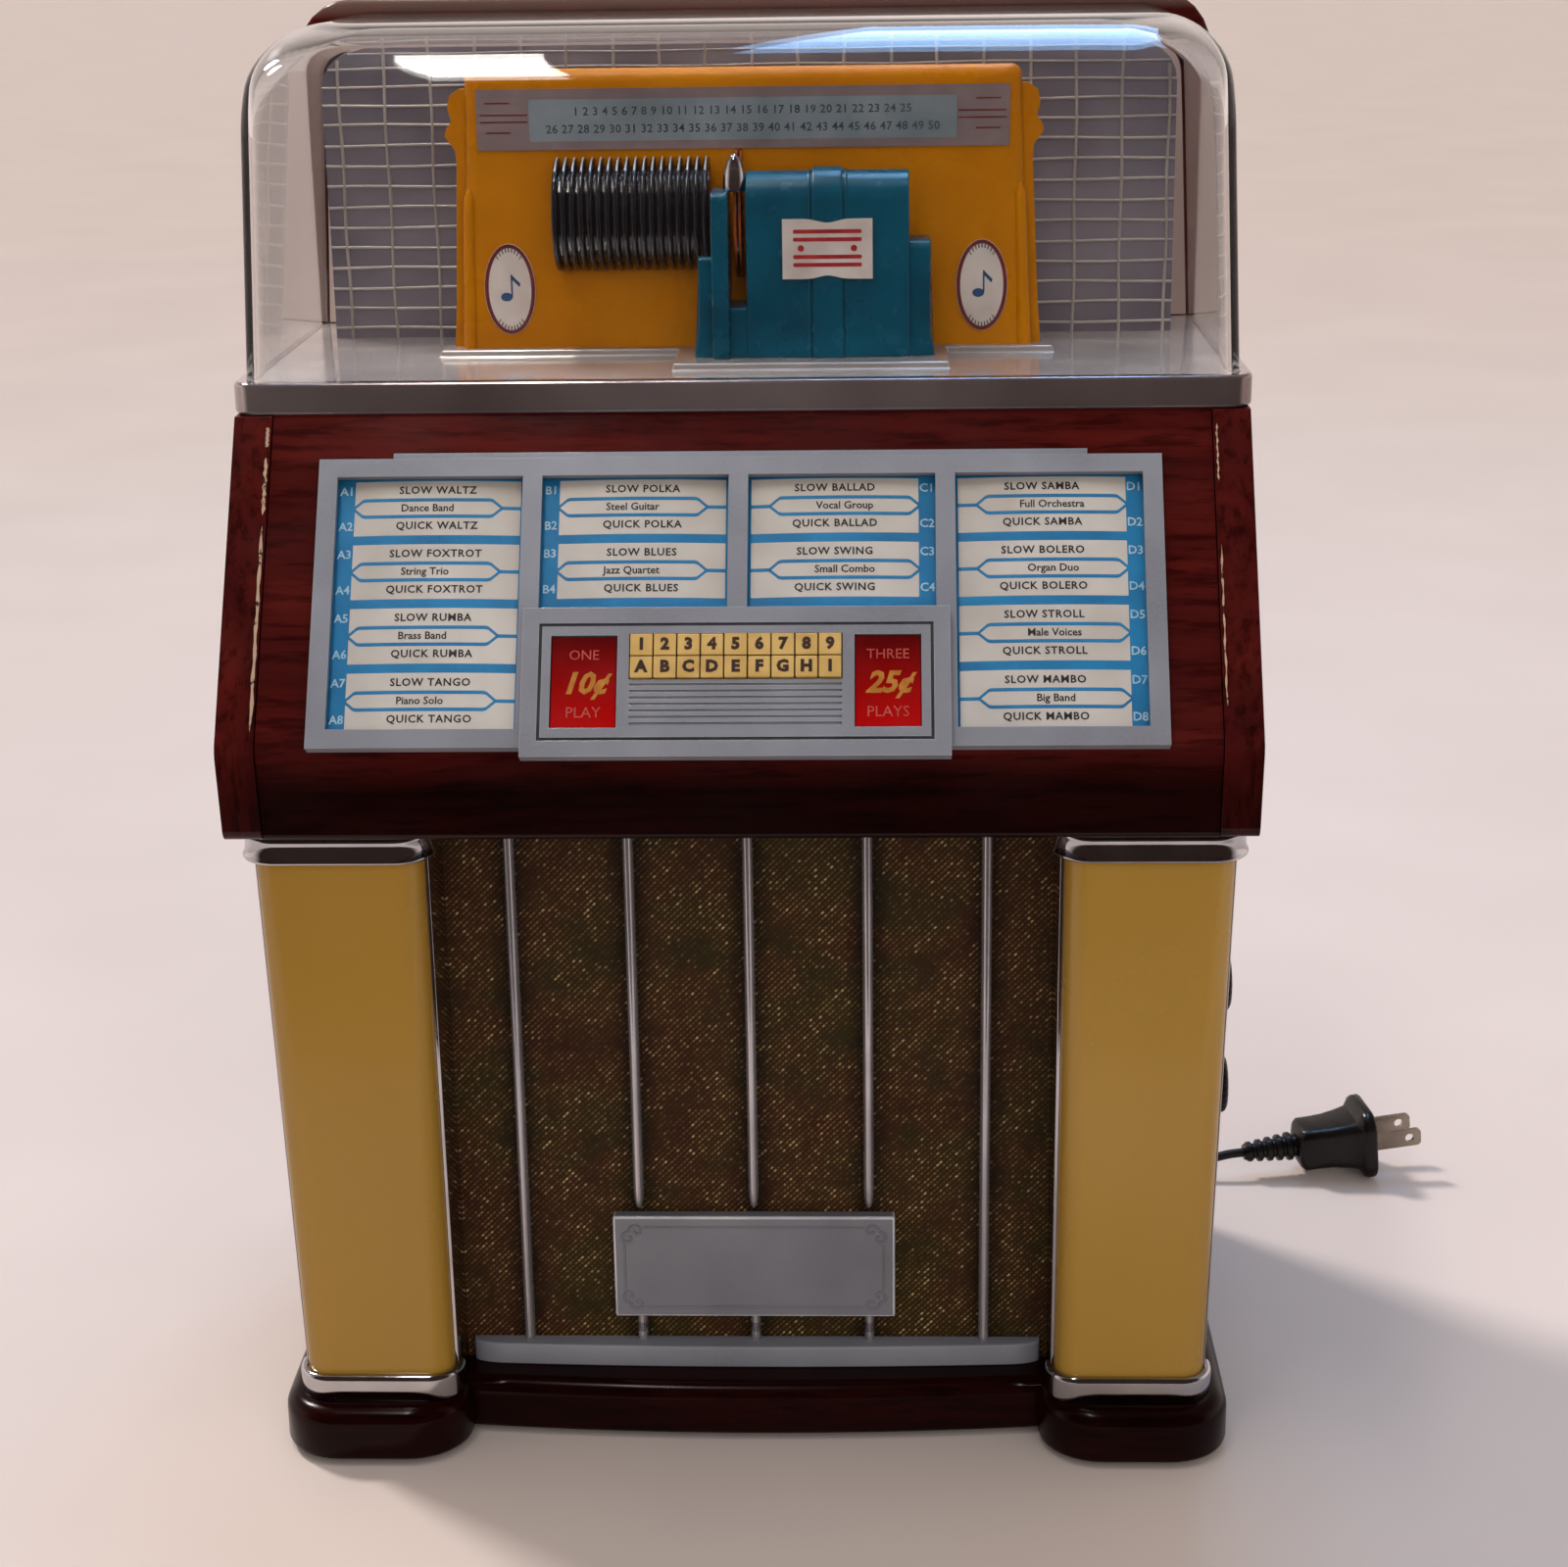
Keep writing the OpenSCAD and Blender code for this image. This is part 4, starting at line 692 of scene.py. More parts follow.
# Camera at the photograph's place
def photo_camera():
    ahead = Vector((
        math.sin(CAMERA_YAW) * math.cos(CAMERA_PITCH),
        math.cos(CAMERA_YAW) * math.cos(CAMERA_PITCH),
        -math.sin(CAMERA_PITCH),
    ))
    level = Vector((math.cos(CAMERA_YAW), -math.sin(CAMERA_YAW), 0))
    sunk = ahead.cross(level)
    right = math.cos(CAMERA_ROLL) * level + math.sin(CAMERA_ROLL) * sunk
    down = math.cos(CAMERA_ROLL) * sunk - math.sin(CAMERA_ROLL) * level
    data = bpy.data.cameras.new("photo_camera")
    data.sensor_fit = "HORIZONTAL"
    data.sensor_width = 36
    data.lens = data.sensor_width * FOCAL_PX / PHOTO_W
    made = link(bpy.data.objects.new("photo_camera", data))
    made.matrix_world = Matrix.Translation(CAMERA_AT) @ Matrix((right, -down, -ahead)).transposed().to_4x4()
    bpy.context.scene.camera = made


photo_camera()

# Nodes of the frame that show as they are: finish, edge width, edge steps, edge finish (a paler silver on the
# rounded edges, a painted highlight)
for row in (
    ("foot_pads", RUBBER),
    ("lower_cabinet", MAHOGANY_SIDE, 0.8 * MM),
    ("console_shell", MAHOGANY_FASCIA),
    ("side_cheeks", MAHOGANY_CHEEK, 1.0 * MM, 4),
    ("rear_shell", MAHOGANY_REAR, 3.0 * MM, 5),
    ("back_cover", BOARD),
    ("cover_screws", STEEL),
    ("cord_gland", BLACK),
    ("speaker", BLACK),
    ("speaker_baffle", CHIPBOARD),
    ("transformer", STEEL),
    ("main_board", CIRCUIT),
    ("key_board", CIRCUIT),
    ("control_units", STEEL),
    ("lamps", LAMP),
    ("backdrop_grid", BACKDROP),
    ("chrome_band", BAND_CHROME, 1.2 * MM, 4),
    ("dome_deck", DECK_SILVER, 0.7 * MM),
    ("column_channels", CHROME, 0.3 * MM, 2),
    ("nameplate", PLATE_SATIN, 0.7 * MM, 2, HIGHLIGHT_SILVER),
    ("title_frame", SATIN, 0.7 * MM, 2, HIGHLIGHT_SILVER),
    ("key_bezel", SATIN, 0.5 * MM, 2, HIGHLIGHT_SILVER),
    ("coin_lenses", COIN_RED, 0.3 * MM, 2),
):
    dress(*row)

# Mains cord: strain relief, loose lead, coil behind the cabinet, and a tail to the plug
BACK = high("back_cover").y
CORD_D = 3.2 * MM
COIL_AT = Vector((60, 150, 0)) * MM
COIL_R = 25 * MM
COIL_STEP = 3.65 * MM
COIL_LOW = 1.7 * MM
COIL_TURNS = 13
COIL_LAP = 6.5
COIL_POINTS = 24
LEAD_POINTS = [
    (-40, 25, 36), (-40, 32.5, 36), (-38, 40.5, 34.5), (-32, 46.5, 31.5), (-24, 49, 27), (-15, 48.5, 21.5),
    (-5, 45.5, 15.5), (5, 41, 10), (15, 36.5, 5.8), (25, 32, 3.2), (35, 28, 2), (44, 25.3, 1.7),
    (53.6, 24.5, 1.7), (56.8, 24.5, 1.7),
]
TAIL_POINTS = [
    (63.2, 24.5, 12.65), (66.4, 24.5, 12.65), (73, 24.5, 12.2), (81, 24.1, 9.8), (90, 23.3, 6.4),
    (99, 22.1, 3.4), (108, 20.7, 1.9), (118, 19.3, 1.7), (128, 18.1, 1.7), (138, 17.5, 2.5), (147, 17.5, 4.6),
    (155, 18.2, 7.2),
]
PLUG_FACE = Vector((214, 127, 13.534)) * MM
PLUG_YAW = math.radians(8)
PLUG_TILT = math.radians(5)
PLUG_TAIL = 46 * MM
PLUG_TURN = Matrix.Rotation(PLUG_YAW, 4, "Z") @ Matrix.Rotation(-PLUG_TILT, 4, "Y")
PLUG_WAY = (PLUG_TURN @ Vector((1, 0, 0))).normalized()
PLUG_PLACE = Matrix.Translation(PLUG_FACE) @ PLUG_TURN
# Grip and flange of the plug, in mm: place along it, half width, half height, corner radius
PLUG_GRIP = (
    (-27, 5.2, 5.2, 3.4), (-26, 7.2, 7.0, 3.2), (-24.6, 8.2, 7.8, 3), (-20, 8.4, 7.7, 3), (-15, 8.8, 7.8, 3),
    (-10, 9.6, 8.4, 3.2), (-6, 10.4, 9.2, 3.4), (-4.8, 11.8, 10.8, 4.6), (-4.2, 12.6, 12, 5.6),
    (-3, 13, 12.7, 6), (-1, 13, 12.7, 6), (-0.3, 12.7, 12.4, 6), (0, 12.2, 11.9, 5.8),
)
BLADE_W = 6.35 * MM
BLADE_T = 1.5 * MM
BLADE_L = 17.5 * MM
BLADE_SPACING = 12.7 * MM
BLADE_HOLE_R = 1.6 * MM


def coil_point(turn):
    """Place on the coil: laps go in and out by turns, and each climbs a layer."""
    lap = turn % COIL_LAP
    radius = COIL_R - COIL_STEP * min(lap, COIL_LAP - lap)
    layers = [min(max((turn - COIL_LAP / 2 * i) / 0.5 + 0.5, 0), 1) for i in (1, 2, 3)]
    angle = 2 * math.pi * turn - math.pi / 2
    height = COIL_LOW + COIL_STEP * sum(layers)
    return COIL_AT + Vector((radius * math.cos(angle), radius * math.sin(angle), height))


def behind(points):
    return [Vector((x * MM, BACK + y * MM, z * MM)) for x, y, z in points]


def mains_cord():
    plug_end = PLUG_FACE - PLUG_TAIL * PLUG_WAY
    coil = [coil_point(i / COIL_POINTS) for i in range(COIL_TURNS * COIL_POINTS + 1)]
    route = behind(LEAD_POINTS) + coil + behind(TAIL_POINTS) + [plug_end - 6 * MM * PLUG_WAY, plug_end]
    curve = bpy.data.curves.new("mains_cord", "CURVE")
    curve.dimensions = "3D"
    curve.bevel_depth = CORD_D / 2
    curve.bevel_resolution = 3
    curve.resolution_u = 4
    curve.use_fill_caps = True
    spline = curve.splines.new("BEZIER")
    spline.bezier_points.add(len(route) - 1)
    for knot, point in zip(spline.bezier_points, route):
        knot.co = point
        knot.handle_left_type = "AUTO"
        knot.handle_right_type = "AUTO"
    curve.materials.append(CORD_BLACK)
    cord = link(bpy.data.objects.new("mains_cord", curve))
    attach(cord, CABINET)
    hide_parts("cord_lead", "cord_coil", "cord_tail")
    return cord


def coil_tie():
    """Flat tie round the coil's turns."""
    clearance, thick, half_w = CORD_D / 2 + 0.3 * MM, 0.5 * MM, 2.2 * MM
    near, far = COIL_R - COIL_STEP * COIL_LAP / 2 - clearance, COIL_R + clearance
    crest = COIL_LOW + 3 * COIL_STEP + clearance
    inner = round_box(near, 0.06 * MM, far, crest, 1.2 * MM, 8)
    outer = round_box(near - thick, 0.02 * MM, far + thick, crest + thick, 1.6 * MM, 8)
    section = ((-half_w, inner), (-half_w, outer), (half_w, outer), (half_w, inner), (-half_w, inner))
    rings = [[COIL_AT + Vector((r, across, z)) for r, z in outline] for across, outline in section]
    return piece("coil_tie", loft(rings, caps=False), BLACK)


def plug_body():
    """Moulded plug: ribbed relief, tapered grip and flange."""
    def ring(along, half_w, half_h, corner):
        return at_x(round_box(-half_w, -half_h, half_w, half_h, corner, 5), along)

    rings = [ring(-PLUG_TAIL, 2.6 * MM, 2.6 * MM, 2.5 * MM)]
    for i in range(5):
        start = -PLUG_TAIL + (1 + 3.6 * i) * MM
        wide = (3.5 + 0.35 * i) * MM
        lip = wide - 0.4 * MM
        neck = (2.7 + 0.3 * i) * MM
        for along, half, corner in (
            (0, lip, 0.8 * wide), (0.5, wide, 0.85 * wide), (1.7, wide, 0.85 * wide), (2.2, lip, 0.8 * wide),
            (2.5, neck, 0.9 * neck), (3.3, neck, 0.9 * neck),
        ):
            rings.append(ring(start + along * MM, half, half, corner))
    rings += [ring(*(value * MM for value in row)) for row in PLUG_GRIP]
    made = piece("plug_body", placed(loft(rings), PLUG_PLACE), BLACK)
    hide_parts("plug")
    return made


def plug_blades():
    """Two flat blades with round holes, each made as an upper and a lower half."""
    half, tip_r = BLADE_W / 2, 1.6 * MM
    hole_x = BLADE_L - 4.2 * MM
    outline = [(0, 0), (0, half), (hole_x - half, half)]
    outline += arc(BLADE_L - tip_r, half - tip_r, tip_r, 90, 0, 5)
    outline += [(BLADE_L, 0)] + arc(hole_x, 0, BLADE_HOLE_R, 0, 180, 10)
    shapes = []
    for side in (-1, 1):
        middle = side * BLADE_SPACING / 2
        for flip in (-1, 1):
            half_blade = [(x, flip * z) for x, z in outline]
            shapes.append(loft([at_y(half_blade, middle + t) for t in (-BLADE_T / 2, BLADE_T / 2)]))
    return piece("plug_blades", placed(join(shapes), PLUG_PLACE), NICKEL)


cord = mains_cord()
plug_body()
plug_blades()
coil_tie()


# Base with rounded top edges
def base():
    bottom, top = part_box("base_plinth")
    foot_w, corner, bow, back_corner, round_top = 56 * MM, 18 * MM, 4.4 * MM, 3 * MM, 5 * MM
    recess = bottom.y + 20 * MM
    outer = top.x
    inner = outer - foot_w
    left = (
        arc(-outer + back_corner, top.y - back_corner, back_corner, 90, 180, 4)
        + arc(-outer + corner, bottom.y + corner, corner, 180, 270, 12)
        + arc(-inner - corner, bottom.y + corner, corner, 270, 358, 12)
        + [(-inner * t, recess - bow * (1 - t ** 2)) for t in evenly(1, 0, 8)]
    )
    levels = [(1.4 * MM, bottom.z), (0.4 * MM, bottom.z + 0.5 * MM), (0, bottom.z + 1.6 * MM)]
    levels += arc(round_top, top.z - round_top, round_top, 180, 90)
    outline = doubled(left)
    shape = loft([at_z(inset(outline, distance), z) for distance, z in levels])
    made = piece("rounded_base", shape, MAHOGANY_BASE, sharp=60)
    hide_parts("base_plinth")


base()


# Worn lines along the cheeks' inner front edges
def worn_strip(side, width, start, end):
    """One scuffed stretch of an edge, ragged in width and pointed at both ends."""
    steps = 30
    proud = 1.2 * MM + PRINT
    seam = high("console_shell").x + 1.15 * MM
    rows = []
    for i, down in enumerate(evenly(start * MM, end * MM, steps)):
        half = (width + 0.12 * math.sin(i * 1.7 + start)) * MM * min(1, i / 2, (steps - i) / 2)
        middle = side * (seam + 0.1 * MM * math.sin(i * 0.9))
        rows.append([on_slope(x, down, proud) for x in (middle - half, middle + half)])
    return open_skin(rows)


for side, name, width, stretches in (
    (-1, "worn_edge_left", 0.42, ((4, 10), (13, 30), (33, 92))),
    (1, "worn_edge_right", 0.2, ((5, 22), (40, 86))),
):
    strips = [worn_strip(side, width, start, end) for start, end in stretches]
    piece(name, join(strips), WORN)

# Dome: a clear shell of one piece, open at the back and below
DOME_LOW, DOME_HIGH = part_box("dome")
DOME_WALL = 3 * MM


def dome_half(z):
    """Half the width of the dome at a height: tapering sides and rounded top corners."""
    side_r, taper = 16 * MM, 4.5 * MM
    half = DOME_HIGH.x - taper * (z - DOME_LOW.z) / (DOME_HIGH.z - DOME_LOW.z)
    over = max(z - (DOME_HIGH.z - side_r), 0)
    return half - side_r + math.sqrt(max(side_r ** 2 - over ** 2, 0))


def dome():
    front_r, corner_low, corner_more = 28 * MM, 6 * MM, 14 * MM
    shoulder = DOME_HIGH.z - front_r
    levels = evenly(DOME_LOW.z, shoulder, 5)
    levels += [shoulder + front_r * math.sin(a) for a in evenly(0, math.pi / 2, 16)[1:]]
    rings = []
    for z in levels:
        half = dome_half(z)
        over = max(z - shoulder, 0)
        front = DOME_LOW.y + front_r - math.sqrt(max(front_r ** 2 - over ** 2, 0))
        corner = corner_low + corner_more * (over / front_r) ** 2
        right = [(half, y) for y in evenly(DOME_HIGH.y, front + corner, 6)[:-1]]
        right += arc(half - corner, front + corner, corner, 0, -90, 10)
        right += [(x, front) for x in evenly(half - corner, 0, 6)[1:]]
        rings.append(at_z(doubled(right), z))
    points, faces = open_skin(rings)
    faces.append(tuple(range(len(points) - len(rings[-1]), len(points))))
    made = piece("clear_dome", (points, faces), CLEAR, sharp=70)
    walls = made.modifiers.new("wall", "SOLIDIFY")
    walls.thickness = DOME_WALL
    walls.offset = -1
    walls.use_even_offset = True
    made.modifiers.new("split", "EDGE_SPLIT").split_angle = math.radians(60)
    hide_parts("dome")


def dome_lining():
    """Painted light: a pale sheet on the rear shell's front, seen at both sides of the grid, stands in for
    the bright room seen through the clear dome.
    """
    gap = DOME_WALL + 0.4 * MM
    top, shoulder = DOME_HIGH.z - gap, 15 * MM
    levels = [DOME_LOW.z + 0.3 * MM] + [top - shoulder * t ** 2 for t in evenly(1, 0, 14)]
    right = [(dome_half(min(z + gap / 2, DOME_HIGH.z)) - gap, z) for z in levels]
    back = low("rear_shell").y
    sheet = flat_front(doubled(right, shared=False), back - 0.3 * MM, 0.25 * MM)
    piece("dome_lining", sheet, pale_lining(DOME_LOW.x, DOME_HIGH.x))


dome_lining()
dome()


# Backdrop: silver grid lines on the rear panel
def wire(points, way, width, rise):
    """Thin half-round wire on the panel along a list of points."""
    section = ((-1, 0), (-0.7, 0.75), (0, 1), (0.7, 0.75), (1, 0))
    rows = []
    for p in points:
        rows.append([p + way * (width / 2 * across) - Vector((0, rise * out, 0)) for across, out in section])
    return open_skin(rows)


def backdrop_lines():
    bottom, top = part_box("backdrop_grid")
    across, upright, corner, wander = 13.6 * MM, 6 * MM, 16 * MM, 0.22 * MM
    wires = []

    def drop(near):
        """How far a rounded corner falls short at a distance from the edge."""
        reach = max(corner - near + 1 * MM, 0)
        return corner - math.sqrt(max(corner ** 2 - reach ** 2, 0))

    for i in range(int((top.x - bottom.x) / across) + 1):
        x = bottom.x + 5 * MM + i * across
        if x > top.x - 2 * MM:
            continue
        levels = evenly(bottom.z, top.z - drop(min(x - bottom.x, top.x - x)), 16)
        points = [
            Vector((x + wander * math.sin(i * 2.3 + k * 0.8), bottom.y, z)) for k, z in enumerate(levels)
        ]
        wires.append(wire(points, Vector((1, 0, 0)), 1.0 * MM, 0.6 * MM))
    for i in range(int((top.z - bottom.z) / upright)):
        z = bottom.z + 3 * MM + i * upright
        half = top.x - drop(top.z - z)
        points = [
            Vector((x, bottom.y, z + wander * math.sin(i * 1.9 + k * 0.55)))
            for k, x in enumerate(evenly(-half, half, 48))
        ]
        wires.append(wire(points, Vector((0, 0, 1)), 0.9 * MM, 0.5 * MM))
    piece("backdrop_lines", join(wires), GRID_SILVER, sharp=80)


backdrop_lines()

# Record mechanism: amber panel with a rounded top, waisted side flanges and a bead up each side
AMBER_LOW, AMBER_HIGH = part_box("mechanism_panel")
# Plan of the right flange in mm from the middle and from the foot
FLANGE = (
    (76, 0), (85.2, 0), (84.2, 14), (83, 40), (82.4, 52), (82.6, 56), (85.5, 60), (84.6, 62.5), (83.4, 64),
    (84.4, 68), (83.6, 71.5), (81, 73.4), (76, 73.6),
)


def amber_plate():
    y0, z0, z1 = AMBER_LOW.y, AMBER_LOW.z, AMBER_HIGH.z
    face, foot, edge, corner = 79 * MM, 82 * MM, 4 * MM, 3 * MM
    outline = [(-foot, z0), (foot, z0)]
    outline += arc(face - corner, z1 - corner, corner, 0, 90)
    outline += arc(corner - face, z1 - corner, corner, 90, 180)
    rings = []
    for shrink, y in [(0, AMBER_HIGH.y)] + arc(edge, y0 + edge, edge, 180, 270):
        narrow, lower = 1 - shrink / face, 1 - shrink / (z1 - z0)
        rings.append([(x * narrow, y, z0 + (z - z0) * lower) for x, z in outline])
    return loft(rings)


def amber_bead():
    """Bead up the panel's right side, tapered and rounded off at its top."""
    round_from = 0.93
    rows = []
    for t in evenly(0, 1, 14):
        past = max(t - round_from, 0) / (1 - round_from)
        half = (2.2 - 0.5 * t) * MM * math.sqrt(max(1 - past ** 2, 0.02))
        middle, z = (80.2 - 1.6 * t) * MM, AMBER_LOW.z + 46 * MM * t
        section = arc(0, 0, half, 0, 180)
        rows.append([(middle + across, AMBER_LOW.y + 1.2 * MM - 1.1 * out, z) for across, out in section])
    return open_skin(rows)


def amber_panel():
    flange = [(x * MM, AMBER_LOW.z + z * MM) for x, z in FLANGE]
    ear = loft([at_y(flange, y) for y in (AMBER_HIGH.y, AMBER_LOW.y + 3.5 * MM)])
    shape = join([amber_plate(), both_sides(ear), both_sides(amber_bead())])
    made = piece("amber_panel", shape, AMBER, sharp=50)
    soften(made, 0.8 * MM, 3, 48)
    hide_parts("mechanism_panel")


amber_panel()

# Printed labels on the amber panel
LABEL_T = 0.5 * MM
LABEL_FACE = AMBER_LOW.y - LABEL_T


def index_strip():
    """Grey index strip with a paler middle, two rows of plain numbers and dark red end lines."""
    half, top = high("mechanism_labels").x, high("mechanism_labels").z
    height, field_edge, line_h = 17.2 * MM, 15 * MM, 0.45 * MM
    base_z = top - height
    strip = round_box(-half, base_z, half, top, 0.6 * MM)
    made = printed("index_strip", [flat_front(strip, LABEL_FACE, LABEL_T)], STRIP_GREY)
    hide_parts("mechanism_labels")
    field = round_box(field_edge - half, base_z + 2.4 * MM, half - field_edge, top - 3 * MM, 0.4 * MM)
    printed("index_field", [flat_front(field, LABEL_FACE - PRINT)], STRIP_PALE)
    rows = []
    for first, z in ((1, 10.6), (26, 5.6)):
        words = " ".join(str(n) for n in range(first, first + 25))
        row = word_shape(words, 3.3 * MM, weight=0.05 * MM, spread=1.06)
        rows.append(placed(row, front_place(0, LABEL_FACE - 2 * PRINT, base_z + z * MM)))
    printed("index_numbers", rows, STRIP_INK)
    lines = []
    for up, x0, x1 in ((4.6, 66, 73), (7.6, 61, 74.6), (9.6, 61, 74.6), (13, 66, 73)):
        z = base_z + up * MM
        lines.append(both_sides(flat_front(box_outline(x0 * MM, z, x1 * MM, z + line_h), LABEL_FACE - PRINT)))
    printed("index_lines", lines, RIM_INK)


index_strip()

BADGE_X = 68 * MM
BADGE_Z = AMBER_LOW.z + 17 * MM
BADGE_W = 7.4 * MM
BADGE_H = 13 * MM
NOTE_STEM = box_outline(0.3, -2.2, 0.8, 4.2)
NOTE_FLAG = [(0.5, 4.2), (0.6, 2.8), (2.8, 0.6), (3.1, 1.6)]


def badge_oval(middle, less):
    return ellipse(middle, BADGE_Z, BADGE_W - less, BADGE_H - less)


def badge_tick(middle, angle):
    """Upright bar across the badge's border at an angle."""
    half_w = 0.17 * MM
    inner, outer = (2.2 * MM, 2.4 * MM), (1.3 * MM, 1.2 * MM)
    ends = []
    for less_w, less_h in (inner, outer):
        x = middle + math.cos(angle) * (BADGE_W - less_w)
        ends.append((x, BADGE_Z + math.sin(angle) * (BADGE_H - less_h)))
    (x0, z0), (x1, z1) = ends
    bar = [(x0 - half_w, z0), (x0 + half_w, z0), (x1 + half_w, z1), (x1 - half_w, z1)]
    return flat_front(bar, LABEL_FACE - PRINT)


def badges():
    """Oval badges with a dark red rim, a note in the middle and ticks round it."""
    face = LABEL_FACE - PRINT
    plates, rims, notes, ticks = [], [], [], []
    for middle in (-BADGE_X, BADGE_X):
        plates.append(flat_front(badge_oval(middle, 0), LABEL_FACE, LABEL_T))
        rims.append(loft([at_y(badge_oval(middle, less), face) for less in (0.1 * MM, 1.2 * MM)], caps=False))
        notes.append(flat_front(ellipse(middle - 1 * MM, BADGE_Z - 2.2 * MM, 1.7 * MM, 1.25 * MM, 20), face))
        for part in (NOTE_STEM, NOTE_FLAG):
            notes.append(flat_front([(middle + x * MM, BADGE_Z + z * MM) for x, z in part], face))
        for side in (-90, 90):
            ticks += [badge_tick(middle, math.radians(side + turn)) for turn in range(-36, 37, 9)]
    printed("badge_plates", plates, PAPER)
    printed("badge_rims", rims, RIM_INK)
    printed("badge_notes", notes, BLUE_INK)
    printed("badge_ticks", ticks, STRIP_INK)


badges()


# Records
def half_disc(x0, x1, middle, radius, steps=32):
    """Half a disc that stands out of the amber panel."""
    outline = arc(AMBER_LOW.y, middle, radius, 90, 270, steps)
    return loft([at_x(outline, x) for x in (x0, x1)])


def thin_record(x, middle, radius, thick):
    """Half a record with rounded edges."""
    half = [(0, 0), (radius - 0.5 * MM, 0), (radius - 0.15 * MM, 0.2 * MM), (radius, 0.55 * MM)]
    profile = half + [(r, thick - along) for r, along in reversed(half)]
    rings = []
    for out, up in arc(0, 0, 1, 90, 270, 32):
        rings.append([(x + along, AMBER_LOW.y + r * out, middle + r * up) for r, along in profile])
    return loft(rings)


def record_row():
    """Row of thin records that stand out of the amber panel, with a painted glint on each."""
    bottom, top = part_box("record_stack")
    count, thick, first = 18, 1.5 * MM, 0.3 * MM
    radius = AMBER_LOW.y - bottom.y
    middle = (bottom.z + top.z) / 2
    places = [x + first for x in evenly(bottom.x, top.x, count)[:-1]]
    shapes = [thin_record(x, middle, radius, thick) for x in places]
    shapes.append(half_disc(bottom.x + 0.4 * MM, top.x - 0.4 * MM, middle, radius - 2.4 * MM, 24))
    made = piece("record_row", join(shapes), RECORD, sharp=50)
    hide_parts("record_stack")
    # Painted highlight: a pale silver tube along each record's top rim.
    shine = arc(AMBER_LOW.y, middle, radius + 0.05 * MM, 94, 126)
    glints = [tube([Vector(p) for p in at_x(shine, x + thick / 2)], 0.3 * MM) for x in places]
    piece("record_glints", join(glints), HIGHLIGHT_SILVER)


def playing_record():
    """Record in the carriage's slot: two brown faces and a darker groove between them."""
    bottom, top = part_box("play_record")
    middle = (bottom.z + top.z) / 2
    radius = (top.z - bottom.z) / 2
    groove_x0, groove_x1 = bottom.x + 0.75 * MM, top.x - 0.6 * MM
    faces = [half_disc(x0, x1, middle, radius) for x0, x1 in ((bottom.x, groove_x0), (groove_x1, top.x))]
    made = piece("playing_record", join(faces), RECORD_BROWN)
    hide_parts("play_record")
    piece("playing_groove", half_disc(groove_x0, groove_x1, middle, radius - 1 * MM), RECORD)


record_row()
playing_record()

# Carriage: barrelled blocks side by side with a flared skirt, a chrome tip and a label
CARRIAGE_FLOOR = low("carriage").z
CARRIAGE_H = high("carriage").z - 1 * MM - CARRIAGE_FLOOR
CARRIAGE_FRONT = AMBER_LOW.y - 21 * MM
CARRIAGE_BACK = AMBER_LOW.y - 4 * MM
HOUSING_X0 = 1.3 * MM
HOUSING_X1 = 47 * MM
HOUSING_MID = (HOUSING_X0 + HOUSING_X1) / 2
SLOT_X = HOUSING_X0 - 4.9 * MM
POST_X = SLOT_X - 4.8 * MM
SKIRT_H = 7 * MM
SKIRT_FLARE = 1.3 * MM
# Tip in mm: radius and height
TIP_PROFILE = (
    (3.2, 0), (3.4, 0.6), (3.3, 2), (3.1, 4), (2.8, 6), (2.2, 8), (1.4, 9.4), (0.5, 10.1), (0.02, 10.3),
)


def carriage_block(x0, x1, proud, height, radius, spread=(0, 0), depth=0.0):
    """One barrelled block; spread is the skirt's flare on its left and right."""
    face, rear = CARRIAGE_FRONT - proud, CARRIAGE_BACK - depth
    floor, crest = CARRIAGE_FLOOR, CARRIAGE_FLOOR + height
    skirt = ((1, 0), (0.55, 0.6), (0, 1))
    outline = [(face - SKIRT_FLARE * out, floor + SKIRT_H * up) for out, up in skirt]
    outline += arc(face + radius, crest - radius, radius, 180, 90, 10)
    outline += arc(rear - radius, crest - radius, radius, 90, 0, 10)
    outline += [(rear, floor)]
    rings = []
    for x, share in zip((x0, x1), spread):
        flare = share * SKIRT_FLARE
        rings.append([(x + flare * max(0, 1 - (z - floor) / SKIRT_H), y, z) for y, z in outline])
    return loft(rings)


def carriage():
    middle, height = HOUSING_MID, CARRIAGE_H
    rib, line_in, line_out, lap = 4.2 * MM, 4.6 * MM, 5.6 * MM, 0.3 * MM
    line_rise, wing = 0.45 * MM, -1.5 * MM
    blocks = [
        carriage_block(HOUSING_X0, HOUSING_X1, 0, height, 8 * MM),
        carriage_block(middle - rib, middle + rib, 1 * MM, height + 1 * MM, 8.8 * MM),
        carriage_block(middle - line_out, middle - line_in, line_rise, height + line_rise, 8.4 * MM),
        carriage_block(middle + line_in, middle + line_out, line_rise, height + line_rise, 8.4 * MM),
        carriage_block(POST_X, SLOT_X, 2 * MM, height - 5 * MM, 2.4 * MM),
        carriage_block(SLOT_X - 0.2 * MM, HOUSING_X0 + 0.2 * MM, 0, 14 * MM, 1 * MM),
        carriage_block(HOUSING_X1 - lap, HOUSING_X1 + 6 * MM, wing, height - 19 * MM, 2.6 * MM, (0, 1)),
        carriage_block(POST_X - 4 * MM, POST_X + lap, wing, height - 23 * MM, 1.6 * MM, (-1, 0), 10 * MM),
    ]
    made = piece("teal_carriage", join(blocks), TEAL, sharp=40)
    soften(made, 0.7 * MM, 3, 40)
    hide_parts("carriage")
    tip = turned([(radius * MM, up * MM) for radius, up in TIP_PROFILE], 28)
    tip_x = (SLOT_X + HOUSING_X0) / 2 - 0.6 * MM
    place = Matrix.Translation((tip_x, CARRIAGE_FRONT + 5 * MM, CARRIAGE_FLOOR + height - 5.2 * MM))
    piece("chrome_tip", placed(tip, place), CHROME, sharp=60)


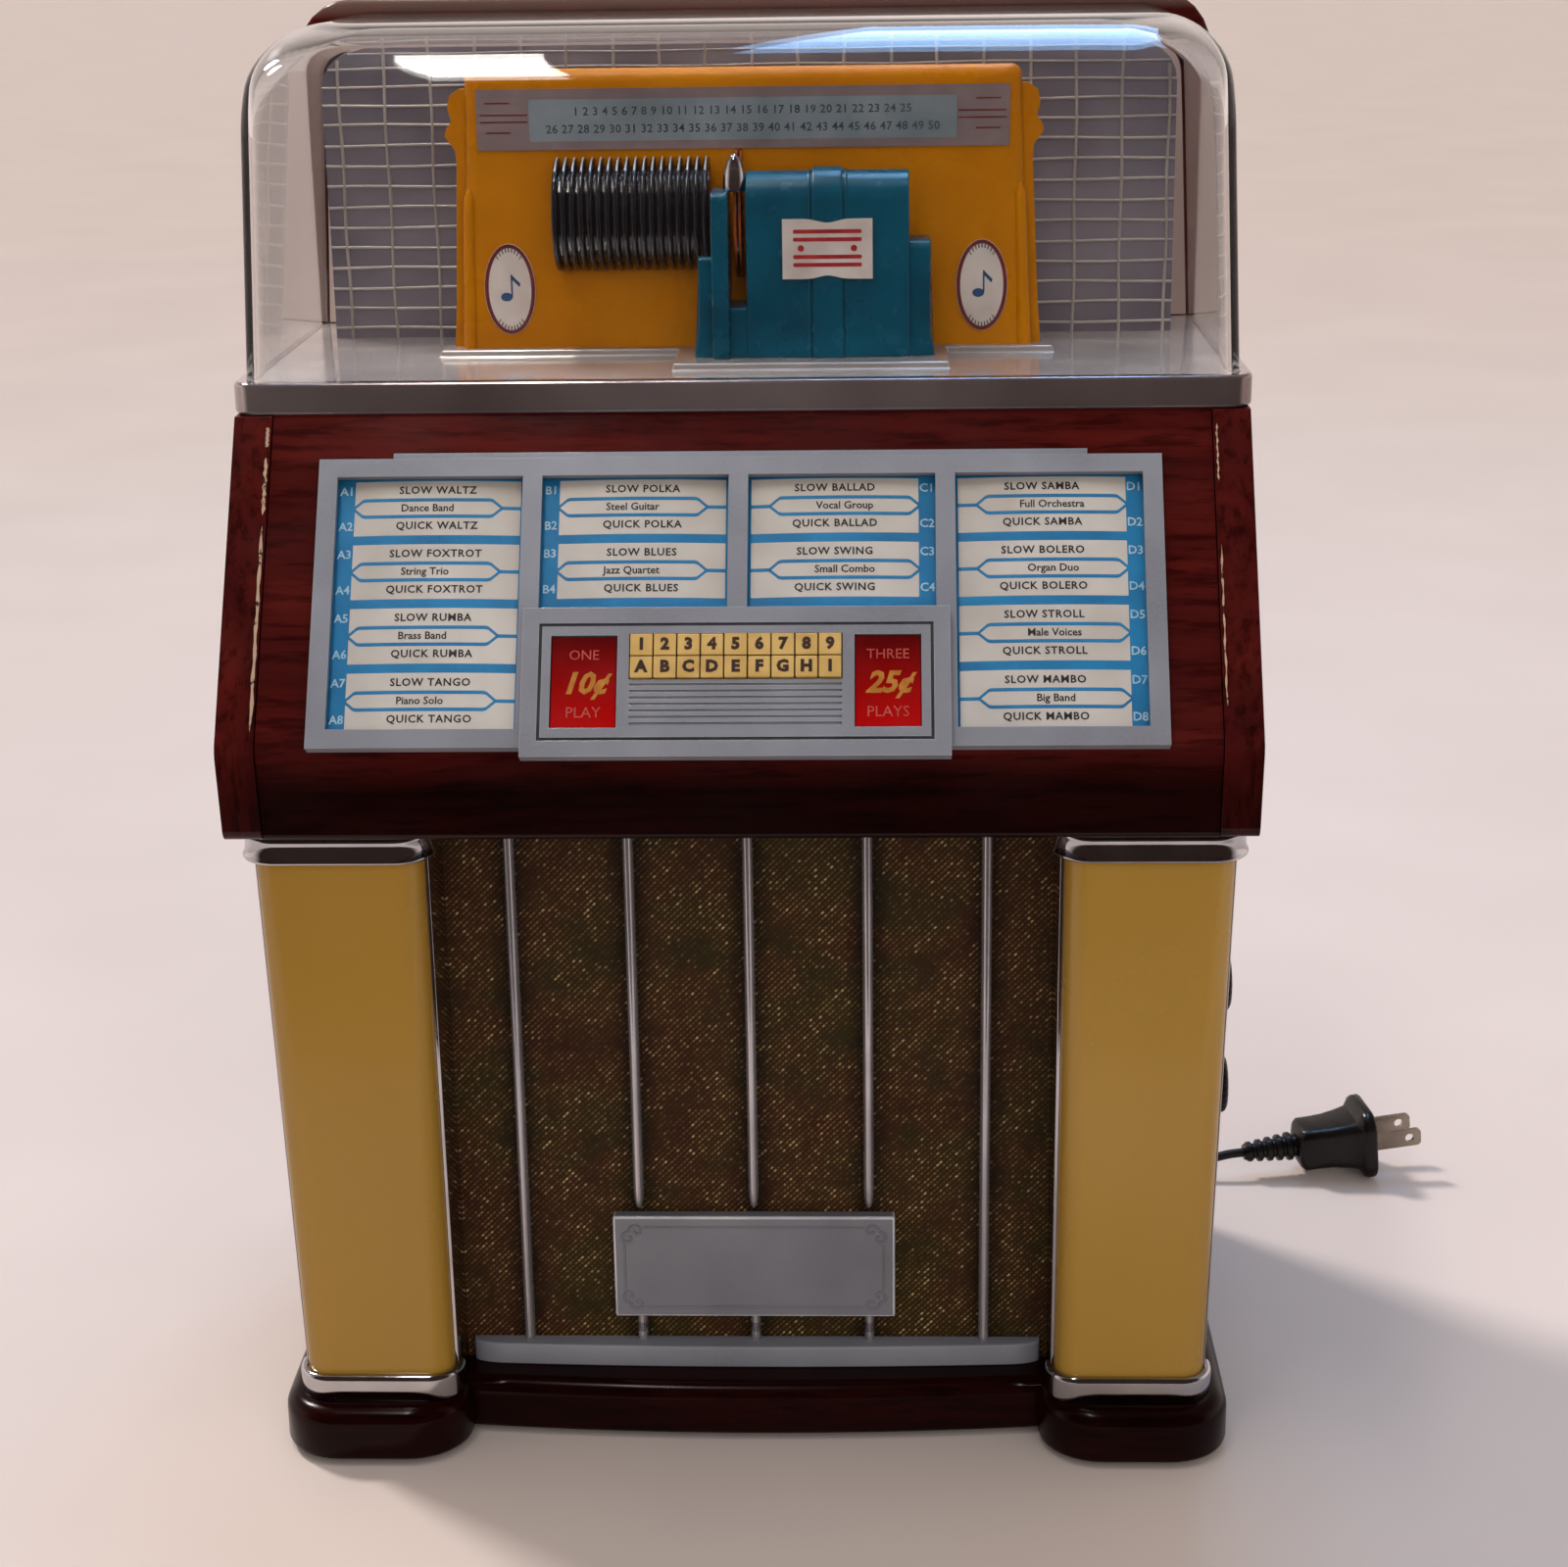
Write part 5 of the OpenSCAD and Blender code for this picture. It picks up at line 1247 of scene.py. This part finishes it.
def carriage_label():
    """Pale label with waved edges, red stripes and two dots."""
    z0, half, height = CARRIAGE_FLOOR + 22 * MM, 12.6 * MM, 16.5 * MM
    margin, stripe_h, dot_r = 3 * MM, 1.1 * MM, 0.9 * MM
    face = CARRIAGE_FRONT - 1.5 * MM
    x0, x1 = HOUSING_MID - half, HOUSING_MID + half
    wave = [(x, 1 * MM * math.exp(-((i - 12) / 3.2) ** 2)) for i, x in enumerate(evenly(x1, x0, 24))]
    outline = [(x, z0 + rise) for x, rise in reversed(wave)] + [(x, z0 + height - rise) for x, rise in wave]
    printed("carriage_label", [flat_front(outline, face, 1.4 * MM)], PAPER)
    marks = []
    for up in (3.4, 5.6, 10.4, 12.6):
        z = z0 + up * MM
        marks.append(round_box(x0 + margin, z, x1 - margin, z + stripe_h, 0.4 * MM))
    marks += [circle(HOUSING_MID + x * MM, z0 + 8.5 * MM, dot_r, 20) for x in (-7.4, 7.4)]
    printed("carriage_stripes", [flat_front(mark, face - PRINT) for mark in marks], RED_INK)


carriage()
carriage_label()

# Title cards under a thin clear sheet
FRAME_LOW, FRAME_HIGH = slope_box("title_frame")
BEZEL_LOW, BEZEL_HIGH = slope_box("key_bezel")
FRAME_TOP = 14.8 * MM
FRAME_RIM = 5.2 * MM
FRAME_DIVIDER = 5.3 * MM
WINDOW_W = (FRAME_HIGH[0] - FRAME_LOW[0] - 2 * FRAME_RIM - 3 * FRAME_DIVIDER) / 4
WINDOW_TOP = FRAME_TOP + FRAME_RIM
WINDOW_LOW = FRAME_HIGH[1] - FRAME_RIM
GROUP = 18.4 * MM
ROW = 5.5 * MM
BAND = 4.8 * MM
BAND_POINT = 2.8 * MM
BAND_PAST = 0.4 * MM
BAND_SHORT = 5 * MM
TITLE_SIZE = 3 * MM
CODE_SIZE = 3.4 * MM
CODE_W = 4.6 * MM
CARD_EDGE = 0.8 * MM
CARD_TOP = 0.4 * MM
CARD_LAP = 1 * MM
CARD_LINE = 1.0 * MM
CARD_BOW = 1.1 * MM
CARD_LIFT = 0.25 * MM
DANCES = (
    "WALTZ", "FOXTROT", "RUMBA", "TANGO", "POLKA", "BLUES", "BALLAD", "SWING", "SAMBA", "BOLERO", "STROLL",
    "MAMBO",
)
PLAYERS = (
    "Dance Band", "String Trio", "Brass Band", "Piano Solo", "Steel Guitar", "Jazz Quartet", "Vocal Group",
    "Small Combo", "Full Orchestra", "Organ Duo", "Male Voices", "Big Band",
)


def card_out(x, middle):
    """Height of a bowed card above the fascia."""
    return CARD_LIFT + CARD_BOW * (1 - min(1, (2 * (x - middle) / (WINDOW_W + 2 * CARD_LAP)) ** 2))


def ribbon(x0, x1, lower, upper, middle, raise_by, steps=14):
    """Printed strip on a bowed card: lower and upper give its two edges along x."""
    rows = []
    for x in evenly(x0, x1, steps):
        out = card_out(x, middle) + raise_by
        rows.append([on_slope(x, edge(x), out) for edge in (lower, upper)])
    return open_skin(rows)


def level(value):
    return lambda x: value


def card_words(words, size, x, down, middle, **style):
    """Words that lie on a bowed card."""
    points, faces = word_shape(words, size, **style)
    return [on_slope(x + p.x, down - p.y, card_out(x + p.x, middle) + 2 * PRINT) for p in points], faces


def pointed_band(left, right, band_mid, middle):
    """Outline of a long hexagon, drawn as an upper and a lower line."""
    shapes = []
    for sign in (-1, 1):
        def outer(x, sign=sign):
            reach = max(min(1, (x - left) / BAND_POINT, (right - x) / BAND_POINT), 0.0)
            return band_mid + sign * (BAND / 2 * reach + CARD_LINE / 2)

        def inner(x, sign=sign):
            return outer(x) - sign * CARD_LINE

        shapes.append(ribbon(left, right, outer, inner, middle, 1.5 * PRINT, 48))
    return shapes


def title_card(index, first_group, groups):
    """One card: pale title strips on blue, long hexagons for the players and the codes beside them."""
    letter = "ABCD"[index]
    name = "card_" + letter.lower()
    middle, half = (index - 1.5) * (WINDOW_W + FRAME_DIVIDER), WINDOW_W / 2
    lowest = BEZEL_LOW[1] - CARD_LAP if index in (1, 2) else WINDOW_LOW
    reach = half + CARD_LAP
    foot, top = level(lowest + CARD_LAP), level(WINDOW_TOP - CARD_LAP)
    made = printed(name, [ribbon(middle - reach, middle + reach, foot, top, middle, 0, 18)], CARD_BLUE)
    # The codes stand on one side; the hexagon reaches past that edge and ends short of the other
    side = -1 if index < 2 else 1
    near, far = middle + side * (half - CODE_W), middle - side * (half - CARD_EDGE)
    white = sorted((near, far))
    band = sorted((near + side * BAND_PAST, far + side * BAND_SHORT))
    tail = sorted((far, far + side * BAND_SHORT))
    centre, code_x = sum(white) / 2, near + side * CODE_W / 2
    whites, lines, inks, codes = [], [], [], []
    for g in range(groups):
        start = WINDOW_TOP + CARD_TOP + GROUP * g
        band_mid = start + ROW + BAND / 2
        end = min(start + 2 * ROW + BAND, lowest)
        whites.append(ribbon(*white, level(end), level(start), middle, PRINT))
        lines += pointed_band(*band, band_mid, middle)
        line_low, line_high = level(band_mid + CARD_LINE / 2), level(band_mid - CARD_LINE / 2)
        lines.append(ribbon(*tail, line_low, line_high, middle, 1.5 * PRINT))
        dance, player = DANCES[first_group + g], PLAYERS[first_group + g]
        inks.append(card_words(player, TITLE_SIZE, sum(band) / 2, band_mid, middle, weight=0.06 * MM))
        for row, pace, down in ((1, "SLOW ", start + ROW / 2), (2, "QUICK ", start + ROW * 1.5 + BAND)):
            if down + TITLE_SIZE * 0.4 > lowest:
                continue
            title, code = pace + dance, letter + str(2 * g + row)
            inks.append(card_words(title, TITLE_SIZE, centre, down, middle, weight=0.08 * MM, spread=1.12))
            codes.append(card_words(code, CODE_SIZE, code_x, down, middle, weight=0.06 * MM))
    printed(name + "_strips", whites, CARD_WHITE)
    printed(name + "_lines", lines, CARD_BLUE)
    printed(name + "_print", inks, CARD_INK)
    printed(name + "_codes", codes, CODE_PALE)
    return made


cards = [title_card(i, first, groups) for i, (first, groups) in enumerate(((0, 4), (4, 2), (6, 2), (8, 4)))]
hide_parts("title_cards")


def slope_frame(x, top, foot, out):
    """Rectangle on the slope, from one side to the other."""
    return [on_slope(px, down, out) for px, down in box_outline(-x, foot, x, top)]


def glazing():
    margin = 2.2 * MM
    x, top, foot = FRAME_HIGH[0] - margin, FRAME_TOP + margin, FRAME_HIGH[1] - margin
    sheet = loft([slope_frame(x, top, foot, out) for out in (1.5 * MM, 1.75 * MM)])
    made = piece("title_sheet", sheet, GLAZING)
    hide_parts("title_glazing")


glazing()


# Keys, their legends and the coin windows
def key(letter):
    node = "key_" + letter
    dress(node, KEY_CREAM, 0.5 * MM, 3)
    low_mark, high_mark = slope_box(node)
    crest = [down for _, down, out in slope_marks(node) if out > high_mark[2] - 0.05 * MM]
    place = slope_place(
        (low_mark[0] + high_mark[0]) / 2, (min(crest) + max(crest)) / 2, high_mark[2] + PRINT,
    )
    legend = placed(word_shape(letter.upper(), 4.4 * MM, weight=0.26 * MM), place)
    piece("legend_" + letter, legend, KEY_INK, body=node)


def coin_windows():
    low_mark, high_mark = slope_box("coin_lenses")
    out = high_mark[2] + PRINT
    width = 17.4 * MM
    down = (low_mark[1] + high_mark[1]) / 2
    prices, words = [], []
    for side, price, top_word, low_word in ((-1, "10¢", "ONE", "PLAY"), (1, "25¢", "THREE", "PLAYS")):
        x = side * (high_mark[0] - width / 2)
        figure = word_shape(price, 8.2 * MM, slant=0.3, weight=0.3 * MM)
        prices.append(placed(figure, slope_place(x, down + 0.6 * MM, out)))
        for word, shift, size in ((top_word, -7.4, 3.9), (low_word, 8.6, 4.2)):
            words.append(placed(word_shape(word, size * MM), slope_place(x, down + shift * MM, out)))
    printed("coin_prices", prices, GOLD_INK)
    printed("coin_words", words, PINK_INK)


def bezel_groove():
    """Painted shade: a dark band in the groove round the key bezel."""
    margin, width, depth = 4.4 * MM, 0.9 * MM, 0.46 * MM
    rings = []
    for edge in (margin, margin + width):
        x, top, foot = BEZEL_HIGH[0] - edge, BEZEL_LOW[1] + edge, BEZEL_HIGH[1] - edge
        rings.append(slope_frame(x, top, foot, BEZEL_HIGH[2] - depth))
    piece("bezel_groove", loft(rings, caps=False), PAINTED_GROOVE_SHADE)


for letter in "123456789abcdefghi":
    key(letter)
bezel_groove()
coin_windows()

# Light columns with their chrome caps and rings
COLUMN_LOW, COLUMN_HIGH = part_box("columns")
FERRULE_LOW, FERRULE_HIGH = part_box("column_ferrules")
FOOT_LOW, FOOT_HIGH = right_box("columns", COLUMN_LOW.z)
CREST_LOW, CREST_HIGH = right_box("columns", COLUMN_HIGH.z)
# Chrome round a column in mm: how far it stands out, and its height above the cap's or ring's foot
CAP_H = 11.4
CAP_PROFILE = (
    (0.1, 0.4), (2.4, 0), (3.2, 0.3), (3.4, 0.8), (3.3, 1.3), (2.9, 1.6), (2.3, 6.0), (2.5, 6.3), (2.4, 6.9),
    (1.6, 7.2), (1.5, CAP_H),
)
RING_PROFILE = ((2.1, 0), (2.4, 0.4), (2.5, 6.6), (2.3, 7.6), (1.8, 8.3), (1.0, 8.5), (0.1, 8.0))


def column_outline(z, grow=0.0):
    """Plan of the right column at a height, grown by a distance."""
    share = (z - COLUMN_LOW.z) / (COLUMN_HIGH.z - COLUMN_LOW.z)
    near, far = FOOT_LOW.lerp(CREST_LOW, share), FOOT_HIGH.lerp(CREST_HIGH, share)
    x0, x1, y0 = near.x - grow, far.x + grow, near.y - grow
    corner, back_corner, bow = 7 * MM + grow, 0.4 * MM, 0.5 * MM
    plan = rounded(x0, y0, x1, COLUMN_HIGH.y, (corner, corner, back_corner, back_corner), 10)
    middle, half = (x0 + x1) / 2, (x1 - x0) / 2
    return [(x, y + bow * ((x - middle) / half) ** 2 if y < y0 + corner else y) for x, y in plan]


def collar(profile, foot):
    """Chrome that follows a column's plan."""
    rings = []
    for grow, up in profile:
        z = foot + up * MM
        rings.append(at_z(column_outline(z, grow * MM), z))
    return loft(rings, caps=False)


def columns():
    levels = evenly(COLUMN_LOW.z, COLUMN_HIGH.z, 12)
    right = loft([at_z(column_outline(z), z) for z in levels])
    made = piece("light_columns", both_sides(right), CREAM, sharp=60)
    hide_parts("columns")
    ends = [collar(CAP_PROFILE, FERRULE_HIGH.z - CAP_H * MM), collar(RING_PROFILE, FERRULE_LOW.z)]
    made = piece("column_chrome", both_sides(join(ends)), CHROME, sharp=50)
    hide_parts("column_ferrules")


def column_trims():
    """Thin chrome sides that run from the channel to the rounded front of each column."""
    skin, sunk, reveal = 0.4 * MM, 0.1 * MM, 8 * MM
    back = low("grille_cloth").y
    channel_x = min(p.x for p in corners_of("column_channels") if p.x > 0)
    inner, outer = [], []
    for z in evenly(COLUMN_LOW.z + reveal, COLUMN_HIGH.z - reveal, 10):
        plan = column_outline(z)
        x0, x1 = min(p[0] for p in plan), max(p[0] for p in plan)
        front = min(p[1] for p in plan) + 6.4 * MM
        inner_x = min(x0, channel_x) - 0.05 * MM - skin
        inner.append(at_z(box_outline(inner_x, front, x0 + sunk, back), z))
        outer.append(at_z(box_outline(x1 - sunk, front, x1 + skin, COLUMN_HIGH.y), z))
    made = piece("column_trims", both_sides(join([loft(inner), loft(outer)])), CHROME, sharp=30)
    soften(made, 0.25 * MM, 2)


column_trims()
columns()

# Speaker grille: cloth, bars, sill and plate ornament
CLOTH_LOW, CLOTH_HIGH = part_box("grille_cloth")
TRIM_LOW, TRIM_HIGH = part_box("grille_trim")
PLATE_LOW, PLATE_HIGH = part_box("nameplate")
BAR_PITCH = 34.5 * MM
BAR_HALF = 1.6 * MM
BAR_RISE = 3 * MM
BAR_TAPER = 7
SILL_TOP = TRIM_LOW.z + 7 * MM


def grille_cloth():
    steps = 40
    across = evenly(CLOTH_LOW.x, CLOTH_HIGH.x, steps)
    y = CLOTH_LOW.y + 0.1 * MM
    rows = [[(x, y, z) for x in across] for z in evenly(CLOTH_LOW.z, CLOTH_HIGH.z, steps)]
    made = piece("grille_fabric", open_skin(rows), grille_weave(BAR_PITCH))
    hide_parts("grille_cloth")


def grille_bar(x, z0, z1, tapered=False):
    """Half-round bar, cut square or tapered at its lower end."""
    marks = (0, 0.4, 1, 2, 4, BAR_TAPER)
    rows = []
    for z, mark in [(z0 + m * MM, m) for m in marks] + [(z1 - m * MM, BAR_TAPER) for m in reversed(marks)]:
        share = math.sqrt(max(0.03, 1 - (1 - mark / BAR_TAPER) ** 2.4)) if tapered else 1
        section = arc(0, 0, share, 0, 180, 10)
        rows.append([(x + BAR_HALF * across, CLOTH_LOW.y - BAR_RISE * out, z) for across, out in section])
    return open_skin(rows)


def grille_bars():
    sunk = 1 * MM
    bars = [grille_bar(x, SILL_TOP - sunk, TRIM_HIGH.z) for x in (-2 * BAR_PITCH, 2 * BAR_PITCH)]
    for x in (-BAR_PITCH, 0, BAR_PITCH):
        bars.append(grille_bar(x, PLATE_HIGH.z + 1 * MM, TRIM_HIGH.z, tapered=True))
        bars.append(grille_bar(x, SILL_TOP - sunk, PLATE_LOW.z + sunk))
    made = piece("grille_bars", join(bars), BAR_CHROME, sharp=60)
    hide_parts("grille_trim")


def sill():
    """Satin bar across the foot of the grille, bowed to the front and scooped away at its ends."""
    half, z0, z1, seat = TRIM_HIGH.x, TRIM_LOW.z, SILL_TOP, CLOTH_LOW.y
    depth = seat - TRIM_LOW.y - 1.6 * MM
    bow, scoop = 0.45 * depth, 9 * MM
    rings = []
    for turn in evenly(-math.pi / 2, math.pi / 2, 64):
        x = half * math.sin(turn)
        reach = max(abs(x) - half + scoop, 0) / scoop
        away = (depth - bow) * (1 - math.sqrt(max(1 - reach ** 2, 0)))
        front = TRIM_LOW.y + bow * (x / half) ** 2 + away
        outline = [
            (seat, z0), (front + 0.4 * MM, z0), (front, z0 + 0.4 * MM), (front, z1 - 1.0 * MM),
            (front + 0.3 * MM, z1 - 0.3 * MM), (front + 1.0 * MM, z1), (seat, z1),
        ]
        rings.append(at_x(outline, x))
    made = piece("grille_sill", loft(rings), SATIN, sharp=30)
    soften(made, 0.4 * MM, 2)


def plate_ornament():
    """Fine border line and corner scrolls on the nameplate."""
    face = PLATE_LOW.y - 0.05 * MM
    margin, corner, curl_in, curl_apart = 3.4 * MM, 6 * MM, 2.4 * MM, 1.2 * MM
    middle = (PLATE_LOW.z + PLATE_HIGH.z) / 2
    half_w, half_h = PLATE_HIGH.x - margin, (PLATE_HIGH.z - PLATE_LOW.z) / 2 - margin
    scroll = []
    for i in range(19):
        radius, angle = (2.2 - 0.1 * i) * MM, math.radians(20 * i)
        scroll.append((radius * math.cos(angle) - curl_apart, radius * math.sin(angle) + curl_apart))
    curls = (scroll, [(b, a) for a, b in scroll])
    shapes = []
    for sign in (-1, 1):
        level_line = [(x, sign * half_h) for x in evenly(corner - half_w, half_w - corner, 6)]
        upright_line = [(sign * half_w, z) for z in evenly(corner - half_h, half_h - corner, 6)]
        for line in (level_line, upright_line):
            shapes.append(tube([Vector((x, face, middle + z)) for x, z in line], 0.32 * MM))
        for up in (-1, 1):
            x, z = sign * (half_w - curl_in), middle + up * (half_h - curl_in)
            for curl in curls:
                shapes.append(tube([Vector((x + sign * a, face, z + up * b)) for a, b in curl], 0.42 * MM))
    piece("plate_ornament", join(shapes), PLATE_SATIN, sharp=80)


grille_cloth()
grille_bars()
sill()
plate_ornament()


# Knobs on the right side
def knob(node):
    """Fluted knob with a pale pointer on its end."""
    bottom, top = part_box(node)
    middle = (bottom + top) / 2
    radius = (top.z - bottom.z) / 2
    side = high("lower_cabinet").x
    length = top.x - side
    flutes, groove = 24, 0.035
    rings = []
    for along, share, fluted in (
        (0.3 * MM, 0.97, False), (0.6 * MM, 1.0, True), (length - 1.6 * MM, 0.97, True),
        (length - 0.6 * MM, 0.93, True), (length, 0.84, False),
    ):
        ring = []
        for i, (across, up) in enumerate(circle(0, 0, radius * share, flutes * 6)):
            wave = 0.5 + 0.5 * math.cos(math.pi * i / 3) if fluted else 1
            cut = 1 - groove * wave
            ring.append((side + along, middle.y + across * cut, middle.z + up * cut))
        rings.append(ring)
    made = piece("fluted_" + node, loft(rings), BLACK, body=node, sharp=40)
    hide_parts(node)
    outline = round_box(-0.5 * MM, radius * 0.3, 0.5 * MM, radius * 0.78, 0.4 * MM)
    ends = (top.x - 0.02 * MM, top.x + 0.1 * MM)
    pointer = loft([[(x, middle.y + across, middle.z + up) for across, up in outline] for x in ends])
    piece("pointer_" + node, pointer, PAPER, body=node)


knob("tuning_knob")
knob("volume_knob")

# Floor and light
PALE = (0.84, 0.72, 0.67, 1)
DARK_ROOM = (0.032, 0.02, 0.016, 1)
ROOM_LIGHT = (1.0, 0.97, 0.95, 1)


def stage():
    """Pale table; the far part of it in front, which the view never holds, is kept out of reflections."""
    finish = pale_table()
    reach, near = 60.0, -0.32
    for name, y0, y1 in (("table", near, reach), ("table_front", -reach, near)):
        mesh = bpy.data.meshes.new(name)
        mesh.from_pydata(at_z(box_outline(-reach, y0, reach, y1), 0), [], [(0, 1, 2, 3)])
        mesh.materials.append(finish)
        floor = link(bpy.data.objects.new(name, mesh))
        floor.visible_glossy = floor.visible_transmission = name == "table"


def lamp(name, kind, at, aim, power, colour, in_reflections=True, **settings):
    data = bpy.data.lights.new(name, kind)
    data.energy = power
    data.color = colour
    for setting, value in settings.items():
        setattr(data, setting, value)
    made = link(bpy.data.objects.new(name, data))
    way = Vector(aim) - Vector(at)
    made.matrix_world = Matrix.Translation(at) @ way.to_track_quat("-Z", "Y").to_matrix().to_4x4()
    made.visible_glossy = made.visible_transmission = in_reflections


def world_light():
    """Even room light; reflections see a pale room that is dark round the viewer and overhead."""
    world = bpy.data.worlds.new("studio")
    made = Nodes(world, "Generated")
    path = made.node("ShaderNodeLightPath").outputs

    def background(colour, strength=1.0):
        return made.node("ShaderNodeBackground", {"Color": colour, "Strength": strength}).outputs[0]

    viewer_way = Vector((0.04, -0.95, 0.3)).normalized()
    towards = made.node("ShaderNodeVectorMath", {0: made.place, 1: viewer_way}, operation="DOT_PRODUCT")
    viewer_side = made.span(towards.outputs["Value"], 0.0, 1.0, 0.05, 0.5)
    overhead = made.span(made.axis("Z"), 0.0, 0.8, 0.2, 0.6)
    shade = made.ramp(made.math("MAXIMUM", viewer_side, overhead), (0.0, PALE), (1.0, DARK_ROOM))
    bounced = made.math("ADD", path["Glossy Depth"], path["Diffuse Depth"])
    through = made.math("SUBTRACT", path["Is Transmission Ray"], bounced)
    straight = made.math("MAXIMUM", path["Is Camera Ray"], through)
    lit = made.either(path["Glossy Depth"], background(ROOM_LIGHT, 0.45), background(shade))
    made.surface("World Output", made.either(straight, lit, background(PALE)))
    bpy.context.scene.world = world


stage()
world_light()
lamp("window_key", "SUN", (-0.62, 0.5, 0.9), (0, 0, 0), 2.1, (1.0, 0.96, 0.93), angle=math.radians(9))
lamp("room_fill", "SUN", (0.2, -1.0, 0.3), (0, 0, 0), 1.2, (1.0, 0.98, 0.96), False, angle=math.radians(60))
lamp(
    "ceiling_lamp", "AREA", (-0.29, -0.4, 1.95), (-0.29, -0.4, 0), 7.0, (1.0, 0.97, 0.93),
    shape="RECTANGLE", size=0.12, size_y=0.9,
)
lamp(
    "sky_window", "AREA", (0.155, 0.63, 1.755), (0.08, -0.02, 0.4), 9.0, (0.3, 0.58, 1.0),
    shape="RECTANGLE", size=0.36, size_y=1.1,
)
bpy.context.scene.view_settings.view_transform = "Standard"
